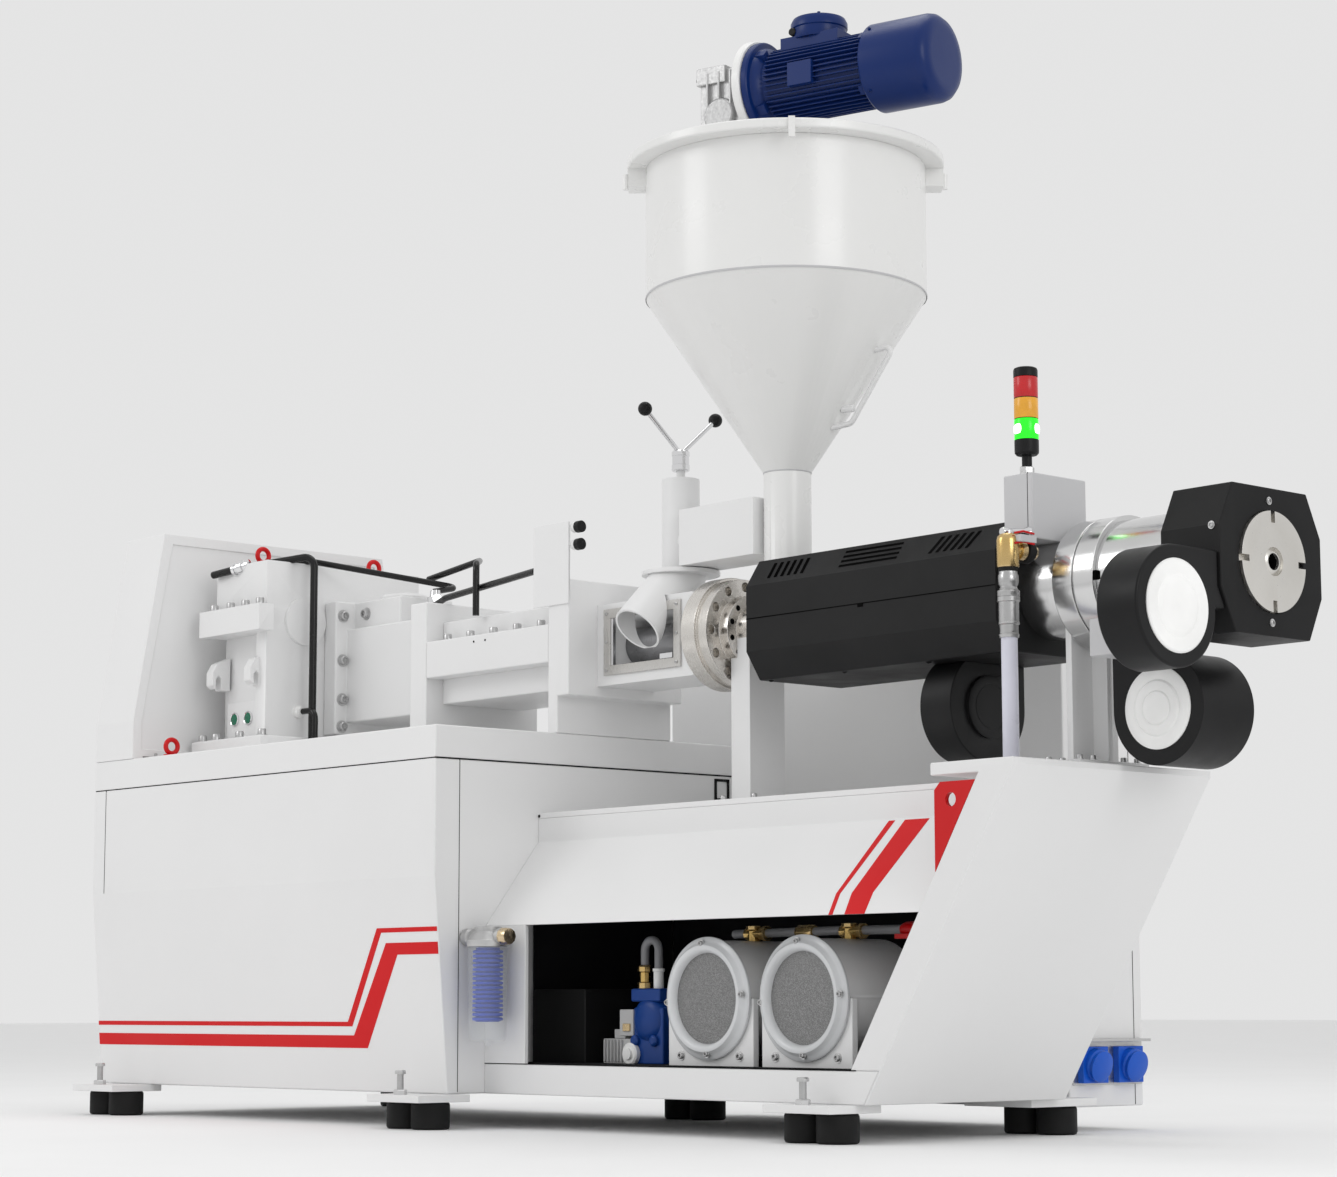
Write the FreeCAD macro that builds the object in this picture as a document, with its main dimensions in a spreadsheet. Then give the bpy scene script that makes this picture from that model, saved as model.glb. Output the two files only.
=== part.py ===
# Single-screw plastic extruder with its hopper, drive and cabinets.
# Millimetres. X runs along the screw from the drive end to the die, Y from the working side to
# the back, Z up. The origin is the middle of the machine's footprint, on the floor.
import FreeCAD, Part

import os
import re

import Sketcher
from FreeCAD import Placement, Rotation, Vector

# Places are measured from three datums: the drive end of the cabinet, its front face and the floor.
SIZES = {
    # rubber mounts and the plates that stand on them
    "mount_height": 58,
    "mount_radius": 42,
    "mount_spacing": 88,
    "foot_plate": 16,
    "foot_length": 185,
    "foot_width": 140,
    "foot_reach": 70,
    "drive_foot_start": 45,
    "middle_foot_overhang": 42,
    "die_foot_setback": 27,
    "rear_foot_reach": 127,
    "rear_foot_width": 200,
    "middle_rear_foot_pull": 80,
    # drive cabinet
    "cabinet_length": 1420,
    "cabinet_width": 885,
    "cabinet_height": 727,
    "cabinet_cap": 73,
    "toe_height": 469,
    "toe_inset": 39,
    # belt guard on the drive end
    "guard_length": 175,
    "guard_centre": 420,
    "guard_half_width": 420,
    "guard_shoulder": 94,
    "guard_height": 575,
    "guard_top_half_width": 340,
    "guard_border": 26,
    "guard_recess": 4,
    # base under the barrel
    "base_front": 141,
    "base_width": 572,
    "base_foot_length": 1170,
    "rail_height": 65,
    "rail_width": 60,
    "opening_height": 297,
    "hood_slope_height": 189,
    "hood_strip": 65,
    "hood_setback": 148,
    "hood_wall": 10,
    "filter_panel_length": 140,
    "cover_lean": 389,
    "cover_depth": 81,
    "cover_skin": 6,
    "top_plate": 12,
    "end_plate_length": 210,
    "lift_plate": 10,
    "lift_plate_length": 104,
    "lift_plate_drop": 25,
    "lift_hole_radius": 13,
    # control cabinet behind the machine
    "control_start": 1200,
    "control_length": 1250,
    "control_depth": 239,
    "control_floor": 50,
    "control_height": 1104,
    "shelf_start": 1500,
    "shelf_length": 860,
    "shelf_height": 60,
    "socket_width": 110,
    "socket_height": 96,
    "socket_depth": 42,
    # screw axis
    "axis_y": 515,
    "axis_z": 1074,
    # gearbox
    "gear_start": 237,
    "gear_length": 224,
    "gear_centre": 434,
    "gear_half_width": 234,
    "gear_height": 488,
    "gear_foot": 48,
    "gear_foot_side": 40,
    "ledge_height": 65,
    "ledge_under": 309,
    "ledge_reach": 43,
    "ledge_side": 13,
    "ledge_end": 31,
    "niche_depth": 30,
    "niche_post": 44,
    "sight_plate": 90,
    "shaft_cover_radius": 60,
    "shaft_cover_offset": 121,
    "shaft_cover_depth": 9,
    "flange_depth": 49,
    "flange_half_width": 141,
    "flange_foot": 60,
    "flange_height": 335,
    "coupling_half_width": 105,
    "coupling_foot": 90,
    "coupling_height": 235,
    "coupling_cap_height": 70,
    "coupling_cap_half_width": 82,
    "coupling_cap_length": 190,
    # thrust bracket
    "bracket_start": 863,
    "bracket_half_width": 172,
    "bracket_height": 348,
    "drive_plate": 64,
    "screw_plate_start": 1387,
    "screw_plate": 72,
    "pedestal_depth": 33,
    "pedestal_height": 84,
    "beam_depth": 50,
    "beam_foot": 163,
    "beam_height": 88,
    "thrust_foot": 104,
    "thrust_height": 198,
    "gauge_plate": 5,
    "gauge_plate_length": 125,
    "gauge_plate_foot": 291,
    "gauge_plate_height": 188,
    "gauge_radius": 12,
    "gauge_length": 28,
    # feed block
    "feed_start": 1459,
    "feed_length": 327,
    "feed_half_width": 87,
    "feed_foot": 107,
    "feed_height": 186,
    "window_margin": 29,
    "window_frame_border": 22,
    "window_frame": 6,
    "window_pocket": 120,
    "screw_radius": 44,
    "running_gap": 0.3,
    # vertical feeder above the feed block
    "feeder_x": 1649,
    "throat_radius": 55,
    "throat_height": 55,
    "disc_radius": 89,
    "disc": 10,
    "chute_radius": 57,
    "chute_wall": 5,
    "chute_reach": 185,
    "chute_bore_depth": 92,
    "feeder_tube_radius": 43,
    "feeder_tube_height": 211,
    "stem_radius": 10,
    "stem_height": 44,
    "hub_radius": 20.5,
    "hub_gap": 19,
    "hub_height": 48,
    "arm_radius": 5.5,
    "ball_radius": 16,
    "ball_reach": 107,
    "ball_height": 91,
    "feeder_box_start": 61,
    "feeder_box_half_width": 60,
    "feeder_box_height": 126,
    "feeder_box_lift": 2,
    "spigot_radius": 34,
    # barrel and its flange
    "ring_radius": 125,
    "ring_length": 44,
    "second_ring_radius": 118,
    "second_ring_length": 32,
    "barrel_hub_radius": 80,
    "barrel_hub_length": 28,
    "barrel_radius": 55,
    "flange_hole_radius": 10,
    "flange_hole_circle": 101,
    "flange_hole_depth": 20,
    # black cover round the heated barrel
    "cover_start": 2035,
    "cover_length": 715,
    "cover_half_width": 161,
    "cover_half_height": 128,
    "cover_chamfer_y": 39,
    "cover_chamfer_z": 58,
    # adapter, clamp and die
    "neck_radius": 100,
    "neck_length": 113,
    "clamp_radius": 127,
    "clamp_ring_length": 49,
    "clamp_split": 4,
    "clamp_core_radius": 122,
    "adapter_radius": 117.5,
    "adapter_length": 273,
    "die_cover_start": 3152,
    "die_cover_length": 138,
    "die_half_width": 151,
    "die_half_height": 139,
    "die_chamfer_y": 40,
    "die_chamfer_z": 82,
    "die_radius": 95,
    "die_proud": 6,
    "die_bore_radius": 15.5,
    "die_bore_depth": 40,
    "die_recess_radius": 27,
    "die_recess_depth": 6,
    "notch_width": 12,
    "notch_depth": 22,
    # blowers
    "barrel_blower_start": 2493,
    "barrel_blower_length": 84,
    "barrel_blower_radius": 111,
    "barrel_blower_drop": 217,
    "inlet_radius": 62,
    "inlet_step": 7,
    "side_blower_length": 94,
    "side_blower_end": 5,
    "side_blower_radius": 112,
    "side_blower_y": 243,
    "side_blower_drop": 104,
    "side_duct_foot": 5,
    "lower_blower_x": 3075,
    "lower_blower_radius": 108,
    "lower_blower_drop": 260,
    "lower_blower_front": 440,
    "lower_blower_length": 150,
    "disc_cap_radius": 84,
    "disc_cap": 8,
    "blower_bracket_start": 3005,
    "blower_bracket_y": 330,
    "blower_bracket_width": 60,
    "blower_bracket_height": 70,
    # columns
    "feed_column_start": 1870,
    "feed_column_length": 60,
    "feed_column_half_width": 52,
    "column_flange": 14,
    "feed_flange_reach": 30,
    "feed_flange_side": 18,
    "die_column_start": 2843,
    "die_column": 15,
    "die_column_half_width": 67,
    "die_gusset": 14,
    "die_gusset_length": 37,
    "die_flange_start": 2795,
    "die_flange_length": 110,
    "die_flange_half_width": 102,
    # hopper
    "hopper_x": 1998,
    "hopper_radius": 308.5,
    "hopper_wall": 4,
    "hopper_height": 288,
    "cone_height": 388,
    "pipe_radius": 52,
    "pipe_height": 209,
    "lid_radius": 350,
    "lid": 22,
    "lug_reach": 38,
    "lug_height": 20,
    "lug_width": 60,
    "hook_radius": 5,
    "handle_rod_radius": 5,
    "handle_span": 106,
    "handle_height": 58,
    "handle_offset": 246,
    "handle_side": 99,
    "fittings_turn": 48.5,
    "clamp_width": 14,
    "clamp_drop": 44,
    # mixer drive on the lid
    "drive_turn": 15,
    "drive_axis_height": 171,
    "gear_unit_start": 200,
    "gear_unit_length": 128,
    "gear_unit_half_width": 62,
    "gear_unit_height": 232,
    "lantern_length": 20,
    "lantern_radius": 112,
    "motor_flange_length": 18,
    "motor_flange_radius": 106,
    "motor_length": 290,
    "motor_radius": 84,
    "cowl_length": 155,
    "cowl_radius": 97,
    "terminal_x": 90,
    "terminal_radius": 64,
    "terminal_top": 140,
    "terminal_neck_radius": 44,
    # junction box, signal tower and air hose
    "junction_length": 74,
    "junction_start_y": 380,
    "junction_width": 160,
    "junction_foot": 86,
    "junction_height": 130,
    "tower_x": 2795,
    "tower_y": 400,
    "tower_stem_radius": 10,
    "tower_stem_height": 36,
    "tower_radius": 24,
    "tower_height": 177,
    "hose_x": 2813,
    "hose_y": 320,
    "hose_radius": 16,
    "hose_height": 249,
    "coupling_radius": 20,
    "coupling_stack": 132,
    "elbow_radius": 22,
    "elbow_height": 76,
    "elbow_arm_radius": 17,
    "elbow_arm_drop": 38,
    # what stands in the base
    "water_filter_x": 1499,
    "water_filter_gap": 8,
    "bowl_radius": 44,
    "bowl_wall": 3,
    "bowl_floor": 185,
    "bowl_height": 205,
    "cartridge_radius": 32,
    "head_radius": 46,
    "head_height": 42,
    "head_port_radius": 19,
    "head_port_length": 76,
    "supply_box_start": 1440,
    "supply_box_y": 262,
    "supply_box_length": 178,
    "supply_box_width": 160,
    "supply_box_height": 160,
    "pump_start": 1735,
    "pump_y": 262,
    "pump_length": 130,
    "pump_width": 110,
    "pump_height": 168,
    "pump_motor_length": 70,
    "pump_motor_height": 55,
    "vessel_first_x": 2083,
    "vessel_spacing": 281,
    "vessel_front": 205,
    "vessel_z": 277,
    "vessel_radius": 118,
    "vessel_depth": 190,
    "screen_radius": 125,
    "screen_ring": 22,
    "screen_opening": 92,
    "screen_mesh": 6,
    "vessel_plate_half_width": 128,
    "vessel_plate": 16,
    "vessel_pipe_radius": 17,
    "manifold_z": 414,
    "manifold_y": 330,
    "manifold_radius": 13,
    # lifting eyes and lubrication pipes
    "cabinet_eye_x": 260,
    "cabinet_eye_y": 60,
    "gear_eye_inset": 62,
    "eye_radius": 17,
    "eye_bar": 6,
    "eye_foot_radius": 20,
    "eye_foot": 8,
}

doc = FreeCAD.newDocument("plastic_extruder")
sheet = doc.addObject("Spreadsheet::Sheet", "sizes")
for row, (alias, size) in enumerate(SIZES.items(), start=1):
    sheet.set(f"A{row}", alias)
    sheet.set(f"B{row}", str(size))
    sheet.setAlias(f"B{row}", alias)
doc.recompute()

# Levels above the floor.
BASE_Z = "(mount_height + foot_plate)"
CAP_Z = f"({BASE_Z} + cabinet_height)"
DECK_Z = f"({CAP_Z} + cabinet_cap)"
RAIL_TOP = f"({BASE_Z} + rail_height)"
OPENING_TOP = f"({RAIL_TOP} + opening_height)"
HOOD_SHOULDER = f"({OPENING_TOP} + hood_slope_height)"
HOOD_TOP = f"({HOOD_SHOULDER} + hood_strip)"
COVER_TOP = f"({HOOD_TOP} + top_plate)"
END_TOP = f"({COVER_TOP} + top_plate)"
FEED_TOP = f"({DECK_Z} + feed_foot + feed_height)"
DISC_Z = f"({FEED_TOP} + throat_height)"
DISC_TOP = f"({DISC_Z} + disc)"
TUBE_TOP = f"({DISC_TOP} + feeder_tube_height)"
HUB_Z = f"({TUBE_TOP} + hub_gap)"
BARREL_COVER_TOP = "(axis_z + cover_half_height)"
CONE_Z = f"({BARREL_COVER_TOP} + pipe_height)"
HOPPER_Z = f"({CONE_Z} + cone_height)"
LID_Z = f"({HOPPER_Z} + hopper_height)"
LID_TOP = f"({LID_Z} + lid)"
JUNCTION_Z = "(axis_z + junction_foot)"
JUNCTION_TOP = f"({JUNCTION_Z} + junction_height)"

# Places along the machine.
COVER_FOOT_X = "(cabinet_length + base_foot_length)"
GEAR_END = "(gear_start + gear_length)"
FLANGE_END = f"({GEAR_END} + flange_depth)"
SCREW_PLATE_END = "(screw_plate_start + screw_plate)"
FEED_END = "(feed_start + feed_length)"
RING_END = f"({FEED_END} + ring_length)"
SECOND_RING_END = f"({RING_END} + second_ring_length)"
BARREL_START = f"({SECOND_RING_END} + barrel_hub_length)"
COVER_END = "(cover_start + cover_length)"
NECK_END = f"({COVER_END} + neck_length)"
CLAMP_END = f"({NECK_END} + 2 * clamp_ring_length + clamp_split)"
ADAPTER_END = f"({CLAMP_END} + adapter_length)"
DIE_COVER_END = "(die_cover_start + die_cover_length)"
MACHINE_END = f"({DIE_COVER_END} + die_proud)"

# Places across the machine.
BASE_BACK = "(base_front + base_width)"
HOOD_Y = "(base_front + hood_setback)"
CONTROL_BACK = "(cabinet_width + control_depth)"

# The origin, half way along and across the machine.
CENTRE_X = f"({MACHINE_END} / 2)"
CENTRE_Y = f"(({CONTROL_BACK} - foot_reach) / 2)"

TURNED_TO = {
    "x": Rotation(Vector(0, 1, 0), 90),
    "y": Rotation(Vector(1, 0, 0), -90),
    "z": Rotation(),
}


def bound(text):
    """The expression with every size named on the sheet."""
    return re.sub(
        r"[a-z_][a-z0-9_]*",
        lambda word: "sizes." + word[0] if word[0] in SIZES else word[0],
        str(text),
    )


def value(text):
    """The number that an expression on the sheet gives."""
    result = sheet.evalExpression(bound(text))
    return float(getattr(result, "Value", result))


def bind(item, settings):
    """Tie properties of a document object to expressions on the sheet."""
    for path, text in settings.items():
        item.setExpression(path, bound(text))


def place(item, x, y, z):
    """Put an object's own origin at a place measured from the machine's datums."""
    bind(item, {
        "Placement.Base.x": f"({x}) - {CENTRE_X}",
        "Placement.Base.y": f"({y}) - {CENTRE_Y}",
        "Placement.Base.z": z,
    })
    return item


def block(label, x, y, z):
    """A box between a low and a high place along each axis."""
    piece = doc.addObject("Part::Box", label)
    bind(piece, {
        "Length": f"({x[1]}) - ({x[0]})",
        "Width": f"({y[1]}) - ({y[0]})",
        "Height": f"({z[1]}) - ({z[0]})",
    })
    return place(piece, x[0], y[0], z[0])


def along(axis, distance, centre):
    """The three coordinates of a place on a line that runs along an axis."""
    first, second = centre
    return {
        "x": (distance, first, second),
        "y": (first, distance, second),
        "z": (first, second, distance),
    }[axis]


def rod(label, axis, centre, radius, low, high):
    """A round bar along an axis; its centre is given in the other two axes."""
    piece = doc.addObject("Part::Cylinder", label)
    piece.Placement = Placement(Vector(), TURNED_TO[axis])
    bind(piece, {"Radius": radius, "Height": f"({high}) - ({low})"})
    return place(piece, *along(axis, low, centre))


def joined(label, *pieces):
    """Pieces welded or cast as one."""
    piece = doc.addObject("Part::MultiFuse", label)
    piece.Shapes = list(pieces)
    piece.Refine = True
    return piece


def cut(label, base, tool):
    """A piece with the tool's volume taken away."""
    piece = doc.addObject("Part::Cut", label)
    piece.Base = base
    piece.Tool = tool
    piece.Refine = True
    return piece


def group(label, *pieces):
    """Like pieces that don't touch, kept together in one sub-part."""
    piece = doc.addObject("Part::Compound", label)
    piece.Links = list(pieces)
    return piece


def turned_about(item, centre, angle):
    """Turn an item about a vertical line, given by its x and y from the machine's datums."""
    x = f"({centre[0]} - {CENTRE_X})"
    y = f"({centre[1]} - {CENTRE_Y})"
    item.Placement = Placement(Vector(), Rotation(Vector(0, 0, 1), value(angle)))
    bind(item, {
        "Placement.Base.x": f"{x} * (1 - cos({angle} * 1deg)) + {y} * sin({angle} * 1deg)",
        "Placement.Base.y": f"{y} * (1 - cos({angle} * 1deg)) - {x} * sin({angle} * 1deg)",
    })
    return item


def origin_item(body, role):
    """One of a body's own origin planes or axes."""
    return next(item for item in body.Origin.OriginFeatures if item.Role == role)


def outline_sketch(body, label, role, outline):
    """A closed outline of straight lines on an origin plane, each corner held from the origin."""
    sketch = body.newObject("Sketcher::SketchObject", label)
    sketch.AttachmentSupport = (origin_item(body, role), "")
    sketch.MapMode = "FlatFace"
    corners = [Vector(value(across), value(up), 0) for across, up in outline]
    for index, corner in enumerate(corners):
        sketch.addGeometry(Part.LineSegment(corners[index - 1], corner), False)
    for index, (across, up) in enumerate(outline):
        following = (index + 1) % len(outline)
        sketch.addConstraint(Sketcher.Constraint("Coincident", index, 2, following, 1))
        for kind, text in (("DistanceX", across), ("DistanceY", up)):
            number = sketch.addConstraint(Sketcher.Constraint(kind, -1, 1, index, 2, value(text)))
            sketch.setExpression(f"Constraints[{number}]", bound(text))
    return sketch


def prism(label, axis, outline, low, high):
    """A body with an outline drawn across an axis and padded along it from low to high."""
    body = doc.addObject("PartDesign::Body", label)
    role = {"x": "YZ_Plane", "y": "XZ_Plane", "z": "XY_Plane"}[axis]
    sketch = outline_sketch(body, label + "_outline", role, outline)
    pad = body.newObject("PartDesign::Pad", label + "_pad")
    pad.Profile = sketch
    pad.Reversed = axis == "y"
    bind(pad, {"Length": f"({high}) - ({low})"})
    return place(body, *along(axis, low, ("0", "0")))


def turned(label, axis, centre, profile):
    """A body turned about an axis; the profile's corners are (place along the axis, radius)."""
    body = doc.addObject("PartDesign::Body", label)
    if axis == "x":
        sketch = outline_sketch(body, label + "_profile", "XZ_Plane", profile)
        line = "H_Axis"
    else:
        role = {"y": "XY_Plane", "z": "XZ_Plane"}[axis]
        swapped = [(radius, place_along) for place_along, radius in profile]
        sketch = outline_sketch(body, label + "_profile", role, swapped)
        line = "V_Axis"
    revolution = body.newObject("PartDesign::Revolution", label + "_turn")
    revolution.Profile = sketch
    revolution.ReferenceAxis = (sketch, [line])
    revolution.Angle = 360
    return place(body, *along(axis, "0", centre))


def chamfered(half_width, half_height, chamfer_y, chamfer_z):
    """Corners of an eight-sided outline about the screw axis, given as (y, z)."""
    corners = []
    for side, level in ((1, 1), (-1, 1), (-1, -1), (1, -1)):
        across = (f"axis_y + {side} * ({half_width})", f"axis_z + {level} * ({half_height} - {chamfer_z})")
        up = (f"axis_y + {side} * ({half_width} - {chamfer_y})", f"axis_z + {level} * ({half_height})")
        corners += [across, up] if side * level > 0 else [up, across]
    return corners


def feet():
    """Foot plates on pairs of rubber mounts, three along each side."""
    cabinet_back = "cabinet_width"
    places = {
        "drive_front": ("drive_foot_start", "0 - foot_reach", "foot_width"),
        "middle_front": ("cabinet_length + middle_foot_overhang - foot_length", "0 - foot_reach", "foot_width"),
        "die_front": (f"{COVER_FOOT_X} - die_foot_setback - foot_length", "base_front - foot_reach", "foot_width"),
        "drive_rear": ("drive_foot_start", f"{cabinet_back} - foot_reach", "foot_width"),
        "middle_rear": (
            "cabinet_length + middle_foot_overhang - foot_length",
            f"{cabinet_back} - foot_reach - middle_rear_foot_pull",
            "foot_width",
        ),
        "die_rear": (
            f"{COVER_FOOT_X} - die_foot_setback - foot_length",
            f"{BASE_BACK} + rear_foot_reach - rear_foot_width",
            "rear_foot_width",
        ),
    }
    plates = []
    mounts = []
    for name, (x, y, width) in places.items():
        plates.append(block(
            f"{name}_plate",
            (x, f"{x} + foot_length"),
            (y, f"{y} + {width}"),
            ("mount_height", BASE_Z),
        ))
        rear_edge_offset = f"{width} - foot_width / 2" if name == "die_rear" else "foot_width / 2"
        for side in (-1, 1):
            centre = (f"{x} + foot_length / 2 + {side} * mount_spacing / 2", f"{y} + {rear_edge_offset}")
            mounts.append(rod(f"{name}_mount_{side + 2}", "z", centre, "mount_radius", "0", "mount_height"))
    return [group("foot_plates", *plates), group("rubber_mounts", *mounts)]


def drive_cabinet():
    """The cabinet under the drive, its front face leaning in towards the floor, and its cap."""
    outline = [
        ("toe_inset", BASE_Z),
        ("cabinet_width", BASE_Z),
        ("cabinet_width", CAP_Z),
        ("0", CAP_Z),
        ("0", f"{BASE_Z} + toe_height"),
    ]
    body = prism("drive_cabinet", "x", outline, "0", "cabinet_length")
    cap = block("cabinet_cap", ("0", "cabinet_length"), ("0", "cabinet_width"), (CAP_Z, DECK_Z))
    return [body, cap]


def guard_outline(inset):
    """Corners of the belt guard's end face, moved in by an inset."""
    half = f"(guard_half_width - {inset})"
    top_half = f"(guard_top_half_width - {inset})"
    return [
        (f"guard_centre - {half}", f"{DECK_Z} + {inset}"),
        (f"guard_centre + {half}", f"{DECK_Z} + {inset}"),
        (f"guard_centre + {half}", f"{DECK_Z} + guard_shoulder"),
        (f"guard_centre + {top_half}", f"{DECK_Z} + guard_height - {inset}"),
        (f"guard_centre - {top_half}", f"{DECK_Z} + guard_height - {inset}"),
        (f"guard_centre - {half}", f"{DECK_Z} + guard_shoulder"),
    ]


def drive_guard():
    """The belt guard, with a shallow sunk panel inside its border."""
    hood = prism("guard_blank", "x", guard_outline("0"), "0", "guard_length")
    panel = prism("guard_panel", "x", guard_outline("guard_border"), "guard_length - guard_recess", "guard_length + 1")
    return [cut("drive_guard", hood, panel)]


def cover_x(level, offset):
    """The place along the machine of the leaning cover's outer face, at a level."""
    rise = f"({COVER_TOP} - {BASE_Z})"
    return f"{COVER_FOOT_X} + cover_lean * (({level}) - {BASE_Z}) / {rise} - {offset}"


def base():
    """The welded base under the barrel: rails, floor, panels, sloping hood and leaning end cover."""
    front = ("base_front", "base_front + rail_width")
    back = (f"{BASE_BACK} - rail_width", BASE_BACK)
    rails = []
    for name, (low, high) in (("front_rail", front), ("rear_rail", back)):
        outline = [
            ("cabinet_length", BASE_Z),
            (cover_x(BASE_Z, "cover_skin"), BASE_Z),
            (cover_x(RAIL_TOP, "cover_skin"), RAIL_TOP),
            ("cabinet_length", RAIL_TOP),
        ]
        rails.append(prism(name, "y", outline, low, high))
    floor = block(
        "base_floor",
        ("cabinet_length", cover_x(BASE_Z, "cover_skin")),
        (front[1], back[0]),
        (BASE_Z, RAIL_TOP),
    )
    beyond = f"{COVER_FOOT_X} + cover_lean + cover_depth"
    behind_cover = prism("space_past_base", "y", [
        (cover_x(BASE_Z, "cover_depth"), BASE_Z),
        (beyond, BASE_Z),
        (beyond, COVER_TOP),
        (cover_x(COVER_TOP, "cover_depth"), COVER_TOP),
    ], "base_front - 1", f"{BASE_BACK} + 1")
    hood_sheet = prism("hood_sheet", "x", [
        ("base_front", OPENING_TOP),
        ("base_front + hood_wall", OPENING_TOP),
        (f"{HOOD_Y} + hood_wall", HOOD_SHOULDER),
        (f"{HOOD_Y} + hood_wall", f"{HOOD_TOP} - top_plate"),
        (HOOD_Y, f"{HOOD_TOP} - top_plate"),
        (HOOD_Y, HOOD_SHOULDER),
    ], "cabinet_length", beyond)
    top_sheet = block(
        "hood_top_sheet",
        ("cabinet_length", beyond),
        (HOOD_Y, BASE_BACK),
        (f"{HOOD_TOP} - top_plate", HOOD_TOP),
    )
    back_sheet = block(
        "back_sheet",
        ("cabinet_length", beyond),
        (f"{BASE_BACK} - hood_wall", BASE_BACK),
        (RAIL_TOP, f"{HOOD_TOP} - top_plate"),
    )
    filter_panel = block(
        "filter_panel",
        ("cabinet_length", "cabinet_length + filter_panel_length"),
        ("base_front", "base_front + hood_wall"),
        (RAIL_TOP, OPENING_TOP),
    )
    end_plate_start = f"{cover_x(COVER_TOP, '0')} - end_plate_length"
    cover_slab = prism("cover_slab", "y", [
        (cover_x(BASE_Z, "cover_skin"), BASE_Z),
        (cover_x(BASE_Z, "0"), BASE_Z),
        (cover_x(COVER_TOP, "0"), COVER_TOP),
        (end_plate_start, COVER_TOP),
        (end_plate_start, HOOD_TOP),
        (cover_x(HOOD_TOP, "cover_depth"), HOOD_TOP),
        (cover_x(RAIL_TOP, "cover_depth"), RAIL_TOP),
        (cover_x(RAIL_TOP, "cover_skin"), RAIL_TOP),
    ], "base_front", BASE_BACK)
    end_plate = block(
        "end_top_plate",
        (end_plate_start, cover_x(COVER_TOP, "0")),
        ("base_front", BASE_BACK),
        (COVER_TOP, END_TOP),
    )
    back_panel = cut("back_panel", back_sheet, behind_cover)
    return [
        joined("base_frame", *rails, floor),
        cut("hood_front", hood_sheet, behind_cover),
        cut("hood_top", top_sheet, behind_cover),
        group("base_panels", filter_panel, back_panel),
        joined("end_cover", cover_slab, end_plate),
    ]


def lifting_plates():
    """A red plate with a lifting hole on each side, welded to the leaning cover's edge."""
    top = f"({COVER_TOP} - lift_plate_drop)"
    slope = f"(cover_lean / ({COVER_TOP} - {BASE_Z}))"
    outline = [
        (f"{cover_x(top, 'cover_depth')} - lift_plate_length + 15", top),
        (f"{cover_x(top, 'cover_depth')} - lift_plate_length", f"{top} - 15"),
        (f"{cover_x(top, 'cover_depth')} - lift_plate_length", f"{top} - lift_plate_length / {slope}"),
        (cover_x(top, "cover_depth"), top),
    ]
    plates = []
    for name, low in (("front", "base_front"), ("rear", BASE_BACK)):
        blank = prism(f"{name}_lift_blank", "y", outline, low, f"{low} + lift_plate")
        centre = (f"{cover_x(top, 'cover_depth')} - lift_plate_length + 42", f"{top} - 34")
        hole = rod(f"{name}_lift_hole", "y", centre, "lift_hole_radius", f"{low} - 1", f"{low} + lift_plate + 1")
        plates.append(cut(f"{name}_lift_plate", blank, hole))
    return [group("lifting_plates", *plates)]


def control_cabinet():
    """The control cabinet behind the machine, its shelf, and two sockets on its end."""
    end = "(control_start + control_length)"
    cabinet = block(
        "control_cabinet",
        ("control_start", end),
        ("cabinet_width", CONTROL_BACK),
        ("control_floor", "control_floor + control_height"),
    )
    shelf = block(
        "cabinet_shelf",
        ("shelf_start", "shelf_start + shelf_length"),
        (BASE_BACK, "cabinet_width"),
        (f"{BASE_Z} + 6", f"{BASE_Z} + 6 + shelf_height"),
    )
    sockets = []
    for number in (0, 1):
        low = f"(cabinet_width + 8 + {number} * (socket_width + 4))"
        sockets.append(block(
            f"socket_{number + 1}",
            (end, f"{end} + socket_depth"),
            (low, f"{low} + socket_width"),
            ("control_floor + 46", "control_floor + 46 + socket_height"),
        ))
    return [cabinet, shelf, group("power_sockets", *sockets)]


def gearbox():
    """The gearbox: foot flange, case with a niche in front, ledges, round shaft cover."""
    low_y = "(gear_centre - gear_half_width)"
    high_y = "(gear_centre + gear_half_width)"
    foot_top = f"({DECK_Z} + gear_foot)"
    ledge_low = f"({DECK_Z} + ledge_under)"
    foot = block(
        "gearbox_foot",
        ("gear_start - gear_foot_side - 5", f"{GEAR_END} + gear_foot_side - 1"),
        (f"{low_y} - gear_foot_side", f"{high_y} + gear_foot_side"),
        (DECK_Z, foot_top),
    )
    case = block(
        "gearbox_blank",
        ("gear_start", GEAR_END),
        (low_y, high_y),
        (foot_top, f"{DECK_Z} + gear_height"),
    )
    niche = block(
        "gearbox_niche",
        ("gear_start - 1", f"{GEAR_END} - niche_post"),
        (f"{low_y} - 1", f"{low_y} + niche_depth"),
        (foot_top, ledge_low),
    )
    ledges = []
    for name, low in (("front", f"{low_y} - ledge_reach"), ("rear", high_y)):
        ledges.append(block(
            f"gearbox_{name}_ledge",
            ("gear_start - ledge_side", f"{GEAR_END} + ledge_end"),
            (low, f"{low} + ledge_reach"),
            (ledge_low, f"{ledge_low} + ledge_height"),
        ))
    centre = ("gear_centre - shaft_cover_offset", f"{ledge_low} + ledge_height / 2")
    cover = rod("shaft_cover", "x", centre, "shaft_cover_radius", GEAR_END, f"{GEAR_END} + shaft_cover_depth")
    sight = block(
        "sight_glass_plate",
        ("gear_start + 24", f"{GEAR_END} - niche_post - 10"),
        (f"{low_y} + niche_depth - 8", f"{low_y} + niche_depth"),
        (f"{foot_top} + 6", f"{foot_top} + 6 + sight_plate"),
    )
    casting = joined("gearbox_case", cut("gearbox_body", case, niche), *ledges, cover, sight)
    return [foot, casting]


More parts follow.
